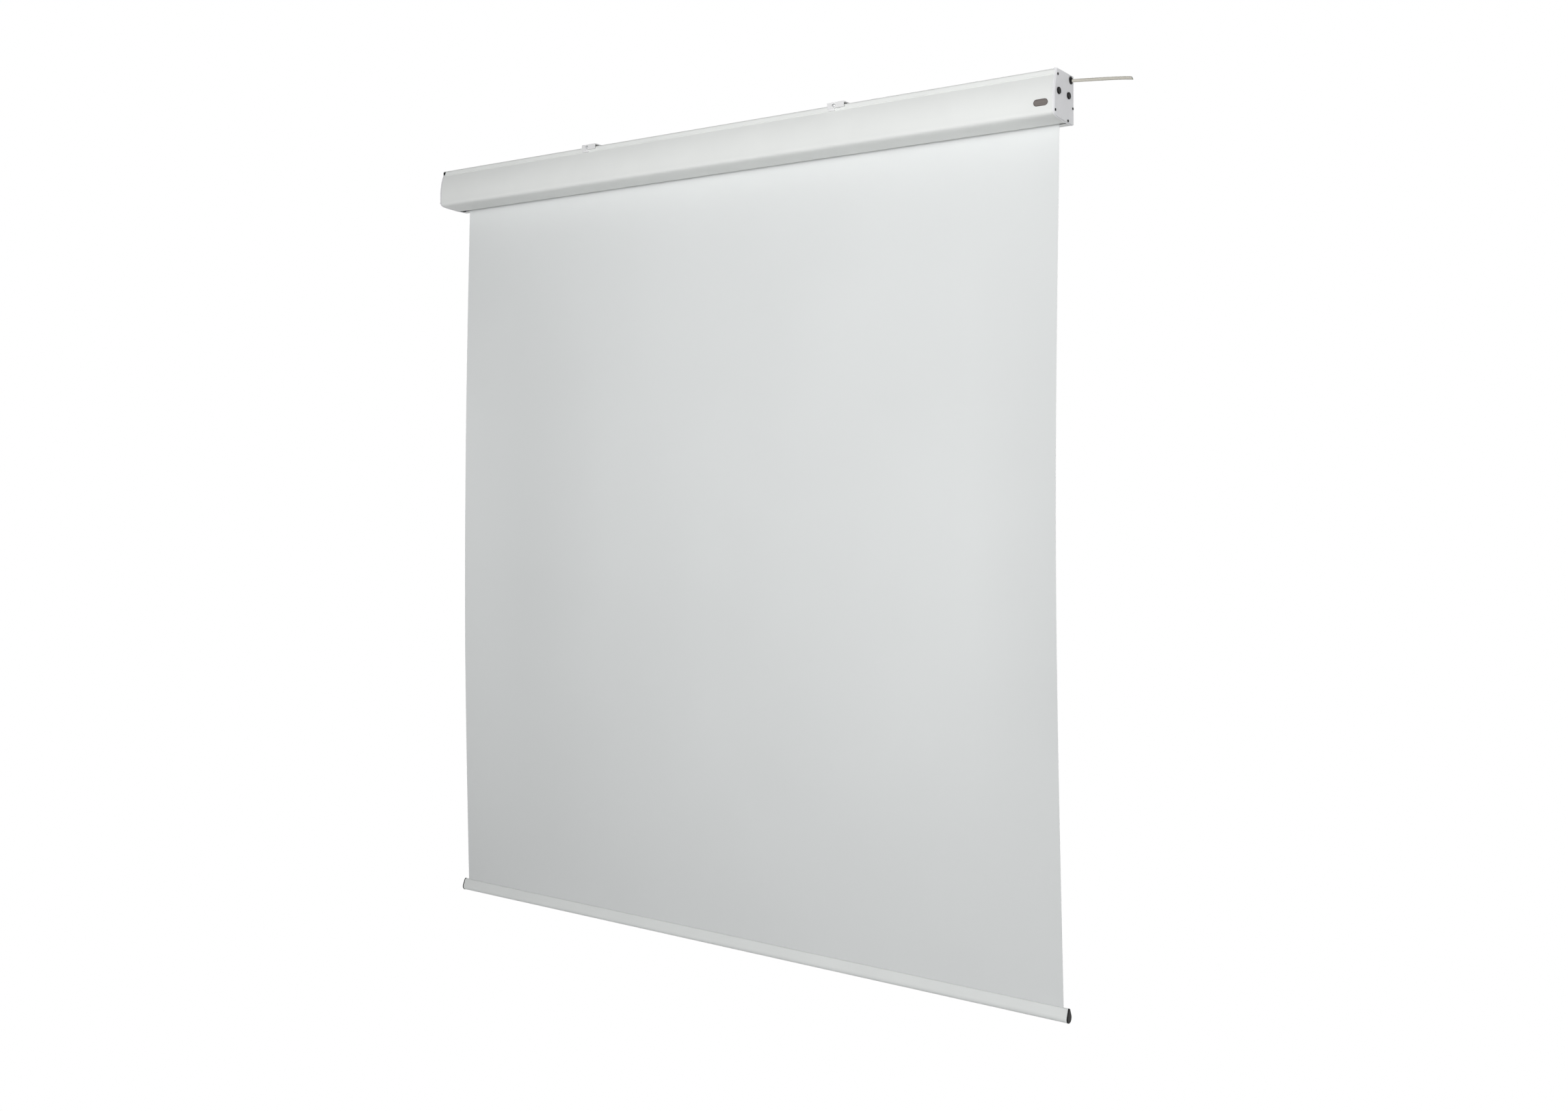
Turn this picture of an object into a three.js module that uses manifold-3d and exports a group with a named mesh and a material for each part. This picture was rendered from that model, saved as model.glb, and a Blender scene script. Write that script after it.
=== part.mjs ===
import * as THREE from 'three';
import { mergeVertices } from 'three/addons/utils/BufferGeometryUtils.js';
import Module from 'manifold-3d';

const wasm = await Module();
wasm.setup();

// A motorized projection screen at its full drop, in millimetres, +Z up. X runs along the case
// towards the motor and -Y is the front. The origin is midway between the two hangers, on the
// plane of their top faces. Inside the case group, y is counted from the case's back (the front
// is negative) and z from its underside.

// Fits
const gap = 0.3; // between pieces that touch on the real screen
const overrun = 2; // how far a cut runs past the faces it opens
const runningGap = 0.12; // idler pin in its bush
const holeGap = 0.4; // a screw's shank in a plain hole
const weld = 0.0005; // vertices closer than this are one

// Sides of a round section, by the radius that it stays under
const roundSides = [[4, 12], [12, 20], [Infinity, 36]];
const turnedSides = 32;
const pillSteps = 14; // round each end

// Case
const caseHeight = 93;
const caseTopDepth = 79;
const bulgeReach = 10.5; // how far the front cover's foremost line stands before the strip
const wall = 2;
const railHeight = 10.6; // the plain strip along the top front
const railRound = 4.5; // its upper front edge
const grooveHeight = 1.6; // under the strip, for the hangers' lips
const grooveDepth = 1.8;
const tongueWidth = 2;
const tongueDrop = 9; // the tongue behind the front cover's top edge
const bulgeHeight = 30; // the foremost line, above the underside
const corner = { top: 15, drop: 13.3, before: 45.5, rise: 3.45 }; // of the lower front
const slot = { before: 15.4, behind: 2.7 }; // its edges before and behind the fabric
const backBlockWall = 2.4; // the thick stretch of the back wall behind its groove
const bulgeSteps = 10;
const cornerSteps = 12;
const railSteps = 5;

// Screw ports of the two case extrusions
const portRadius = 3.6;
const portHoleRadius = 1.7;
const topPortInset = 4.4; // from the strip's front
const topPortDrop = 11; // from the case's top
const backPortInset = 5; // from the back
const backPortHeight = 30.7;
const frontPortInset = 2.9; // from the foremost line
const frontPortHeight = 12.6;
const lipPortReach = 12.1; // before the fabric
const lipPortHeight = 2.9;

// End plates, their screws and the plugs over the limit screws
const plateThickness = 4;
const endScrew = { head: 2.6, headHeight: 1.2, shank: 1.4, length: 16 };
const plug = { head: 6.7, headHeight: 2.8, rim: 1.5, dish: 0.8, stem: 5.7, hole: 6 };

// Stop at the left end of the strip
const stop = { length: 8.7, foot: 5, depth: 2, slant: 1.2 };

// Badge without words on the front cover
const badge = { length: 29.2, height: 13, thickness: 1, rim: 1.3, sunk: 0.35, fromEnd: 27.8, lowered: 0.9 };

// Cable gland and power lead
const gland = { fromBack: 14.5, below: 10.4, flange: 7.5, flangeWidth: 1.6, noseRoot: 5.4, noseTip: 4.4 };
const glandReach = { nose: 1.6, body: 8, thread: 5, hole: 5.4 };
const glandNut = { flats: 13.2, width: 4 };
const leadRadius = 3.1;
const leadSides = 10;
const leadSteps = 8;
const leadRoute = [
  [0, 0, -1.1],
  [8.6, 0, -1.85],
  [17.2, 0, -2.65],
  [25.8, 0, -3.45],
  [34.4, 0, -4.25],
  [43, 0, -5.07],
  [51.6, 0, -5.91],
  [60.2, 0, -6.77],
  [68.7, 0, -7.64],
  [77.3, 0, -8.55],
  [85.9, 0, -9.5],
  [94.5, 0, -10.51],
  [103.1, 0, -11.62],
  [111.7, 0, -12.9],
  [120.3, 0, -14.4],
];
const core = { radius: 0.85, circle: 1.1, depth: 7, count: 4, sides: 12 };
const innerLead = { radius: 2.5, sides: 8, steps: 12, straight: 4, loopBack: 6, rise: 3, approach: 6 };
const innerLoopShares = [0.3, 0.72];

// Roller and the fabric left on it
const rollerBehindMiddle = 0.75; // its axis behind the middle of the case's depth
const tubeRadius = 25;
const tubeWall = 1.5;
const tubeOverFabric = 1; // the tube's end past the fabric's edge
const woundThickness = 2; // of the turns that stay on the roller

// Fabric
const fabricWidth = 1600;
const fabricThickness = 0.6;
const drop = 1679; // from the case's underside to the bar's top
const curlRight = 23.5; // how far the long edges curl forward at mid height
const curlLeft = 14;
const curlWidth = 190;
const fabricColumns = 20;
const fabricRows = 16;

// Bottom bar
const barHeight = 27.6;
const barTopRadius = 3.7;
const barBottomRadius = 9.5;
const barWall = 1.3;
const barOverFabric = 10;
const barSlot = 2.4;
const barArcSteps = 10;
const cap = { thickness: 2, tongue: 5 };
const hem = { rod: 2.8, cloth: 0.5, neck: 0.45, mouth: 1 };

// Motor brackets and the idler end
const bracket = { sideMargin: 7.6, topMargin: 7, chamfer: 11, thickness: 2, limitHole: 5, underGland: 5.55 };
const bracketScrew = { turn: 50, clear: 0.6, head: 3.2, headHeight: 1.8, shank: 1.7, depth: 2.6 };
const pin = { radius: 5, length: 36, flange: 9, flangeWidth: 2 };
const idlerPlug = { length: 36, rimWidth: 1.7, shell: 2.2, web: 5, hub: 9.5, hubLength: 28 };
const bushWall = 2;

// Tubular motor
const casingWall = 1;
const head = { radius: 21, fromBack: 33, width: 9.8, plugLength: 13, stub: 13, stubFit: 0.3 };
const headScrew = { offset: 15, head: 3, shank: 1.5, depth: 8 };
const limitScrew = { aside: 12.1, forward: 4.9, radius: 2.5, length: 7, socket: 1.3, socketDepth: 3 };
const gearmotorLength = 256;
const brakeLength = 25;
const capacitor = { length: 70, radius: 15, ring: 4 };
const limitUnitLength = 54;
const crown = { width: 10, wall: 0.9, rimOver: 1, rimWidth: 1.6, endGap: 0.7 };
const shaft = { radius: 6, inside: 12, outside: 38, groove: 5, clipWidth: 1.2 };
const wheel = { width: 24, web: 6, hub: 10, shell: 3 };
const wheelScrew = { radius: 2, depth: 6 };
const clipRadius = 9;

// Hangers
const hanger = { fromMiddle: 336, width: 40, sheet: 2, overCase: 2.7, standOff: 2.6, flange: 11.8 };
const hook = { lip: 1, tabWidth: 16, behindGap: 0.4 };
const hangerHole = { radius: 2.6, spacing: 22 };
const wallHoleRadius = 2.2;
const clampScrew = { aside: 4, below: 6.3, head: 3.7, headHeight: 2.2, shank: 1.9 };
const clampNut = { size: 7, thickness: 2 };

// Places that follow from the sizes above. Along X they start at the fabric's edge: the roller
// tube's end, the crown ring's rim, the motor's head, its bracket and the end plate.
const tubeEnd = fabricWidth / 2 + tubeOverFabric;
const headBack = tubeEnd + gap + crown.rimWidth + crown.endGap;
const headFace = headBack + head.width;
const bracketInside = headFace + gap;
const shellEnd = bracketInside + bracket.thickness;
const plateInside = shellEnd + gap;
const plateFace = plateInside + plateThickness;
const tubeBore = tubeRadius - tubeWall;
const insideTube = tubeBore - gap;
const casingRadius = insideTube - crown.wall - gap;
const casingBore = casingRadius - casingWall - gap;
const woundRadius = tubeRadius + gap + woundThickness;

// In the section, the motor's head spreads to the case's depth. The bracket's screws sit round the
// head's rounded ends, the bracket round its screws, and the roller under the lead's gland.
const caseDepth = caseTopDepth + bulgeReach;
const rollerFromBack = caseDepth / 2 - rollerBehindMiddle;
const headHalfLength = rollerFromBack - head.fromBack;
const limitOffset = headHalfLength + limitScrew.aside;
const limitOffsets = [-limitOffset - limitScrew.forward, limitOffset - limitScrew.forward];
const screwReach = head.radius + bracketScrew.head + bracketScrew.clear;
const screwTurn = THREE.MathUtils.degToRad(bracketScrew.turn);
const screwAcrossY = headHalfLength + screwReach * Math.cos(screwTurn);
const screwAcrossZ = screwReach * Math.sin(screwTurn);
const bracketHalfHeight = screwAcrossZ + bracket.topMargin;
const glandAbove = caseHeight - gland.below;
const rollerAbove = glandAbove - bracket.underGland - bracketHalfHeight;
const fabricY = -rollerFromBack + woundRadius + gap + fabricThickness / 2;
const slotFront = fabricY - slot.before;
const slotBack = fabricY + slot.behind;
const grooveTop = caseHeight - railHeight;
const grooveFloor = grooveTop - grooveHeight;
const lowestTongue = grooveFloor - tongueDrop;
const caseTop = -(hanger.sheet + hanger.overCase);
const barEnd = fabricWidth / 2 + barOverFabric;

const topPort = [-(caseTopDepth - topPortInset), caseHeight - topPortDrop];
const backPort = [-backPortInset, backPortHeight];
const frontPort = [-(caseDepth - frontPortInset), frontPortHeight];
const lipPort = [fabricY - lipPortReach, lipPortHeight];
const endPorts = [topPort, backPort, frontPort, lipPort];

// Finishes: colour, roughness, metalness
const finishes = {
  paintedAluminium: [0xe9ebe8, 0.35, 0.15],
  paintedPlate: [0xc7cacb, 0.45, 0.2],
  paintedSteel: [0xeeeeec, 0.4, 0.2],
  blackPlastic: [0x161617, 0.5, 0],
  blackScrew: [0x1a1a1b, 0.4, 0.6],
  badgeFinish: [0x5a5049, 0.35, 0.3],
  leadSheath: [0xcfcabf, 0.6, 0],
  leadCore: [0xb5703a, 0.4, 0.7],
  zincSteel: [0xb9bcc0, 0.35, 0.9],
  plainSteel: [0x9a9da1, 0.3, 0.95],
  greyPlastic: [0x6d7073, 0.6, 0],
  motorPaint: [0x3a3d42, 0.5, 0.4],
  projectionCloth: [0xdfe2e2, 0.85, 0],
  barAluminium: [0xd4d5d1, 0.35, 0.5],
};

// A closed geometry as a solid with its faces pointing out, whichever way it was wound.
function solid(geometry) {
  geometry.deleteAttribute('normal');
  geometry.deleteAttribute('uv');
  const merged = mergeVertices(geometry, weld);
  const place = merged.getAttribute('position').array;
  const index = merged.index.array;
  const corner = (i) => new THREE.Vector3().fromArray(place, 3 * i);
  const faces = [];
  let volume = 0;
  for (let i = 0; i < index.length; i += 3) {
    const [a, b, c] = index.slice(i, i + 3);
    if (a !== b && b !== c && c !== a) {
      faces.push([a, b, c]);
      volume += corner(a).dot(corner(b).cross(corner(c)));
    }
  }
  const outward = faces.map(([a, b, c]) => (volume > 0 ? [a, b, c] : [a, c, b]));
  return new wasm.Manifold(new wasm.Mesh({
    numProp: 3,
    vertProperties: new Float32Array(place),
    triVerts: new Uint32Array(outward.flat()),
  }));
}

function joined(...solids) {
  return solids.flat().reduce((sum, next) => sum.add(next));
}

function cutFrom(body, ...tools) {
  return tools.flat().reduce((left, tool) => left.subtract(tool), body);
}

// Outlines are drawn across an axis: (y, z) across X, (x, z) across Y and (x, y) across Z.
const axisFrames = {
  x: new THREE.Matrix4().makeBasis(
    new THREE.Vector3(0, 1, 0), new THREE.Vector3(0, 0, 1), new THREE.Vector3(1, 0, 0)),
  y: new THREE.Matrix4().makeBasis(
    new THREE.Vector3(1, 0, 0), new THREE.Vector3(0, 0, 1), new THREE.Vector3(0, 1, 0)),
  z: new THREE.Matrix4(),
};

// An outline, with any holes, carried along an axis from one place to another.
function extruded(outline, from, to, holes = []) {
  const path = (points) => points.map(([a, b]) => new THREE.Vector2(a, b));
  const shape = new THREE.Shape(path(outline));
  shape.holes = holes.map((hole) => new THREE.Path(path(hole)));
  const depth = Math.abs(to - from);
  const geometry = new THREE.ExtrudeGeometry(shape, { depth, bevelEnabled: false });
  return geometry.translate(0, 0, Math.min(from, to));
}

function prism(axis, outline, from, to, holes) {
  return solid(extruded(outline, from, to, holes).applyMatrix4(axisFrames[axis]));
}

function sidesOf(radius) {
  const [, sides] = roundSides.find(([limit]) => radius < limit);
  return sides;
}

function circle([a, b], radius, sides = sidesOf(radius)) {
  return Array.from({ length: sides }, (_, i) => {
    const angle = (2 * Math.PI * i) / sides;
    return [a + radius * Math.cos(angle), b + radius * Math.sin(angle)];
  });
}

function disc(axis, centre, radius, from, to) {
  return prism(axis, circle(centre, radius), from, to);
}

function ring(axis, centre, outer, inner, from, to) {
  return prism(axis, circle(centre, outer), from, to, [circle(centre, inner, sidesOf(outer))]);
}

// Two half circles, each centred halfLength from the middle, and the straights between them.
function pill(halfLength, radius) {
  return [1, -1].flatMap((side) => Array.from({ length: pillSteps + 1 }, (_, i) => {
    const angle = Math.PI * (i / pillSteps - side / 2);
    return [side * halfLength + radius * Math.cos(angle), radius * Math.sin(angle)];
  }));
}

function rectangle([a0, a1], [b0, b1]) {
  return [[a0, b0], [a1, b0], [a1, b1], [a0, b1]];
}

function block(x, y, z) {
  return prism('x', rectangle(y, z), ...x);
}

// A profile of [x, radius] turned about the X axis. It starts and ends on the axis, or closes.
function latheAlongX(profile, sides) {
  const points = profile.map(([x, radius]) => new THREE.Vector2(radius, x));
  return new THREE.LatheGeometry(points, sides).rotateZ(-Math.PI / 2);
}

function turned(profile, sides = turnedSides) {
  return solid(latheAlongX(profile, sides));
}

function closedProfile(profile) {
  return [...profile, profile[0]];
}

function mirroredX(profile) {
  return profile.map(([x, radius]) => [-x, radius]);
}

// A tube of round section along a smooth curve through the route's points.
function tubeAlong(route, radius, sides, steps) {
  const curve = new THREE.CatmullRomCurve3(route.map((p) => new THREE.Vector3(...p)));
  const section = new THREE.Shape(circle([0, 0], radius, sides).map(([a, b]) => new THREE.Vector2(a, b)));
  const geometry = new THREE.ExtrudeGeometry(section, { steps, extrudePath: curve, bevelEnabled: false });
  return { curve, body: solid(geometry) };
}

const screen = new THREE.Group();
const caseGroup = new THREE.Group();
caseGroup.position.set(0, caseTopDepth / 2, caseTop - caseHeight);
const rollerGroup = new THREE.Group();
rollerGroup.position.set(0, -rollerFromBack, rollerAbove);
const barGroup = new THREE.Group();
barGroup.position.set(0, fabricY, -drop);
caseGroup.add(rollerGroup, barGroup);
screen.add(caseGroup);

function piece(name, body, finish, group) {
  const { vertProperties, triVerts } = body.getMesh();
  const geometry = new THREE.BufferGeometry();
  geometry.setAttribute('position', new THREE.BufferAttribute(vertProperties, 3));
  geometry.setIndex(new THREE.BufferAttribute(triVerts, 1));
  const [color, roughness, metalness] = finishes[finish];
  const mesh = new THREE.Mesh(geometry, new THREE.MeshStandardMaterial({ color, roughness, metalness }));
  mesh.name = name;
  group.add(mesh);
  return mesh;
}

// The case's front outline from the strip's lower edge down to the fabric's slot. The upper
// stretch is an arc that is upright at the foremost line, and the lower one is a cubic curve.
const bulgeRise = grooveTop - bulgeHeight;
const bulgeRadius = (bulgeRise ** 2 + bulgeReach ** 2) / (2 * bulgeReach);
const bulgeAngle = Math.asin(bulgeRise / bulgeRadius);
const lowerFront = new THREE.CubicBezierCurve(
  new THREE.Vector2(-caseDepth, corner.top),
  new THREE.Vector2(-caseDepth, corner.top - corner.drop),
  new THREE.Vector2(slotFront - corner.before, corner.rise),
  new THREE.Vector2(slotFront, 0),
);

function frontPath(inset) {
  const points = [];
  for (let i = 0; i <= bulgeSteps; i += 1) {
    const angle = bulgeAngle * (1 - i / bulgeSteps);
    const radius = bulgeRadius - inset;
    points.push([
      bulgeRadius - caseDepth - radius * Math.cos(angle),
      bulgeHeight + radius * Math.sin(angle),
    ]);
  }
  for (let i = 0; i <= cornerSteps; i += 1) {
    const place = lowerFront.getPointAt(i / cornerSteps);
    const along = lowerFront.getTangentAt(i / cornerSteps);
    points.push([place.x - inset * along.y, place.y + inset * along.x]);
  }
  return points;
}

const caseOutline = [[0, 0], [0, caseHeight], [-caseTopDepth, caseHeight], ...frontPath(0)];

// The strip's upper front edge is round, from the case's top down to the strip's face.
const railEdge = Array.from({ length: railSteps + 1 }, (_, i) => {
  const angle = (Math.PI / 2) * (i / railSteps);
  return [
    -caseTopDepth + railRound * (1 - Math.sin(angle)),
    caseHeight - railRound * (1 - Math.cos(angle)),
  ];
});

function port(centre) {
  return disc('x', centre, portRadius, -shellEnd, shellEnd);
}

function portHole(centre) {
  return disc('x', centre, portHoleRadius, -shellEnd - overrun, shellEnd + overrun);
}

// The stop forms the strip's left end below the case's top wall, and the strip and the left plate
// are cut to its outline.
function stopOutline(margin) {
  const foot = grooveTop + gap + stop.slant;
  const top = caseHeight - wall - gap + margin;
  const lean = (stop.length - stop.foot) / (caseHeight - wall - foot);
  const corner = stop.foot + margin;
  return [
    [-plateFace - margin, grooveTop + gap - margin],
    [-plateFace + corner, foot - margin],
    [-plateFace + corner + lean * (top - foot + margin), top],
    [-plateFace - margin, top],
  ];
}

function stopCut() {
  return prism('y', stopOutline(gap), -caseTopDepth - overrun, -caseTopDepth + stop.depth + gap);
}

function makeCaseShells() {
  const blockDepth = grooveDepth + backBlockWall;
  const backRail = prism('x', [
    [slotBack, 0],
    [0, 0],
    [0, grooveFloor],
    [-grooveDepth, grooveFloor],
    [-grooveDepth, grooveTop],
    [0, grooveTop],
    [0, caseHeight],
    ...railEdge,
    [-caseTopDepth, grooveTop],
    [-caseTopDepth + grooveDepth, grooveTop],
    [-caseTopDepth + grooveDepth, lowestTongue],
    [-caseTopDepth + grooveDepth + tongueWidth, lowestTongue],
    [-caseTopDepth + grooveDepth + tongueWidth, caseHeight - wall],
    [-blockDepth, caseHeight - wall],
    [-blockDepth, grooveFloor - wall],
    [-wall, grooveFloor - wall],
    [-wall, wall],
    [slotBack, wall],
  ], -shellEnd, shellEnd);
  const beforeTongue = block([-plateFace, plateFace], [-caseDepth, -caseTopDepth + grooveDepth],
    [-overrun, grooveTop]);
  const railBody = joined(backRail, cutFrom(port(topPort), beforeTongue), port(backPort));
  piece('case_back_rail', cutFrom(railBody, portHole(topPort), portHole(backPort), stopCut()),
    'paintedAluminium', caseGroup);

  const skin = prism('x', [
    ...frontPath(0),
    [slotFront, 0],
    [slotFront, wall],
    ...frontPath(wall).reverse(),
  ], -shellEnd, shellEnd);
  const web = prism('x', [
    [slotFront - wall, wall / 2],
    [slotFront, 0],
    [lipPort[0], lipPort[1] - wall],
    [lipPort[0], lipPort[1] + wall],
    [slotFront - wall, wall],
  ], -shellEnd, shellEnd);
  const aboveGroove = block([-plateFace, plateFace], [-caseDepth, 0], [grooveFloor, caseHeight]);
  const withinCase = prism('x', caseOutline, -plateFace, plateFace);
  const bosses = [frontPort, lipPort].map((centre) => port(centre).intersect(withinCase));
  const coverBody = cutFrom(joined(skin, web, bosses), aboveGroove);
  piece('case_front_cover', cutFrom(coverBody, portHole(frontPort), portHole(lipPort)),
    'paintedAluminium', caseGroup);
}

// side is 1 at the motor's end and -1 at the idler's end.
function makeEnd(side, label) {
  const holes = endPorts.map((centre) => circle(centre, endScrew.shank + holeGap));
  if (side > 0) {
    for (const offset of limitOffsets) {
      holes.push(circle([-rollerFromBack + offset, rollerAbove], plug.hole));
    }
    holes.push(circle([-gland.fromBack, glandAbove], glandReach.hole));
  }
  const blindHoles = bracketScrewPlaces().map(([y, z]) => disc('x', [y, z],
    bracketScrew.shank + gap, side * (plateInside - overrun), side * (plateInside + bracketScrew.depth + gap)));
  const plate = cutFrom(prism('x', caseOutline, side * plateInside, side * plateFace, holes), blindHoles);
  piece(`end_plate_${label}`, side > 0 ? plate : cutFrom(plate, stopCut()), 'paintedPlate', caseGroup);

  const face = side * (plateFace + gap);
  endPorts.forEach((centre, i) => {
    const headEnd = face + side * endScrew.headHeight;
    const middle = face + side * endScrew.headHeight / 2;
    piece(`end_screw_${label}_${i + 1}`, joined(
      disc('x', centre, endScrew.head, face, headEnd),
      disc('x', centre, endScrew.shank, middle, face - side * endScrew.length),
    ), 'blackScrew', caseGroup);
  });
}

function makePlug(name, offset) {
  const face = plateFace + gap;
  const profile = [
    [plateInside, 0],
    [plateInside, plug.stem],
    [face, plug.stem],
    [face, plug.head],
    [face + plug.headHeight / 2, plug.head],
    [face + plug.headHeight, plug.head - plug.rim / 2],
    [face + plug.headHeight, plug.head - plug.rim],
    [face + plug.headHeight - plug.dish, 0],
  ];
  piece(name, turned(profile, 24), 'blackPlastic', caseGroup)
    .position.set(0, -rollerFromBack + offset, rollerAbove);
}

function makeStopAndBadge() {
  const stopBlock = prism('y', stopOutline(0), -caseTopDepth, -caseTopDepth + stop.depth);
  const behindEdge = prism('x', [[0, 0], [0, caseHeight], ...railEdge, [-caseTopDepth, 0]],
    -plateFace - overrun, plateFace);
  piece('rail_end_stop', stopBlock.intersect(behindEdge), 'blackPlastic', caseGroup);

  const radius = badge.height / 2;
  const outline = (inset) => pill(badge.length / 2 - radius, radius - inset);
  const front = -caseDepth - gap - badge.thickness;
  const plate = prism('y', outline(0), front, front + badge.thickness);
  const field = prism('y', outline(badge.rim), front - overrun, front + badge.sunk);
  piece('badge_plate', cutFrom(plate, field), 'badgeFinish', caseGroup)
    .position.set(plateFace - badge.fromEnd, 0, bulgeHeight - badge.lowered);
}

function makeGlandAndLead() {
  const face = plateFace + gap;
  const noseEnd = face + gland.flangeWidth + glandReach.nose;
  const bodyEnd = plateInside - glandReach.body;
  const bore = innerLead.radius + gap;
  const body = turned(closedProfile([
    [bodyEnd, bore],
    [bodyEnd, glandReach.thread],
    [face, glandReach.thread],
    [face, gland.flange],
    [face + gland.flangeWidth / 2, gland.flange],
    [face + gland.flangeWidth, gland.noseRoot],
    [noseEnd, gland.noseTip],
    [noseEnd, bore],
  ]), 24);
  const glandGroup = new THREE.Group();
  glandGroup.position.set(0, -gland.fromBack, glandAbove);
  caseGroup.add(glandGroup);
  piece('cable_gland', body, 'blackPlastic', glandGroup);

  const nutFace = plateInside - gap;
  const nutCorner = glandNut.flats / Math.sqrt(3);
  piece('cable_gland_nut', prism('x', circle([0, 0], nutCorner, 6), nutFace - glandNut.width, nutFace,
    [circle([0, 0], glandReach.thread + gap)]), 'greyPlastic', glandGroup);

  const route = leadRoute.map(([x, y, z]) => [noseEnd + gap + x, y, z]);
  const lead = tubeAlong(route, leadRadius, leadSides, leadSteps);
  const tip = lead.curve.getPointAt(1);
  const turn = new THREE.Quaternion().setFromUnitVectors(
    new THREE.Vector3(0, 0, 1), lead.curve.getTangentAt(1));
  const toTip = new THREE.Matrix4().compose(tip, turn, new THREE.Vector3(1, 1, 1));
  const atTip = (outline, from, to) => solid(extruded(outline, from, to).applyMatrix4(toTip));
  const tipBore = circle([0, 0], core.circle + core.radius + gap, core.sides);
  piece('power_lead', cutFrom(lead.body, atTip(tipBore, -core.depth - gap, overrun)),
    'leadSheath', glandGroup);
  const cores = circle([0, 0], core.circle, core.count).map((centre) => atTip(
    circle(centre, core.radius, core.sides), -core.depth, 0));
  piece('power_lead_cores', joined(cores), 'leadCore', glandGroup);

  // Inside the case, the lead loops over the roller's end and down to the motor's head.
  const headTop = rollerAbove + head.radius + 2 * gap - glandAbove;
  const toHead = gland.fromBack - rollerFromBack;
  const entry = (headFace + headBack) / 2;
  const innerStart = bodyEnd - gap;
  const loopX = innerStart - innerLead.straight - innerLead.loopBack;
  const innerRoute = [
    [innerStart, 0, 0],
    [innerStart - innerLead.straight, 0, 0],
    ...innerLoopShares.map((share) => [loopX, toHead * share, innerLead.rise]),
    [entry, toHead, headTop + innerLead.approach],
    [entry, toHead, headTop],
  ];
  const inner = tubeAlong(innerRoute, innerLead.radius, innerLead.sides, innerLead.steps);
  piece('lead_inside', inner.body, 'leadSheath', glandGroup);
}

function bracketScrewPlaces() {
  return [-1, 1].map((side) => [
    -rollerFromBack + side * screwAcrossY,
    rollerAbove + side * screwAcrossZ,
  ]);
}

// A chamfered steel plate behind each end plate, centred on the roller.
function makeBracket(side, name, openings, cutters = []) {
  const halfDepth = screwAcrossY + bracket.sideMargin;
  const innerDepth = halfDepth - bracket.chamfer;
  const innerHeight = bracketHalfHeight - bracket.chamfer;
  const outline = [
    [-halfDepth, -innerHeight],
    [-innerDepth, -bracketHalfHeight],
    [innerDepth, -bracketHalfHeight],
    [halfDepth, -innerHeight],
    [halfDepth, innerHeight],
    [innerDepth, bracketHalfHeight],
    [-innerDepth, bracketHalfHeight],
    [-halfDepth, innerHeight],
  ];
  const screwHoles = bracketScrewPlaces().map(([y, z]) => circle(
    [y + rollerFromBack, z - rollerAbove], bracketScrew.shank + holeGap));
  const plate = prism('x', outline, side * bracketInside, side * shellEnd, [...screwHoles, ...openings]);
  piece(`${name}_bracket`, cutFrom(plate, cutters), 'zincSteel', rollerGroup);

  const under = side * (bracketInside - gap);
  bracketScrewPlaces().forEach((centre, i) => {
    const middle = under - side * bracketScrew.headHeight / 2;
    piece(`${name}_bracket_screw_${i + 1}`, joined(
      disc('x', centre, bracketScrew.head, under - side * bracketScrew.headHeight, under),
      disc('x', centre, bracketScrew.shank, middle, side * (plateInside + bracketScrew.depth)),
    ), 'zincSteel', caseGroup);
  });
}

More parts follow.
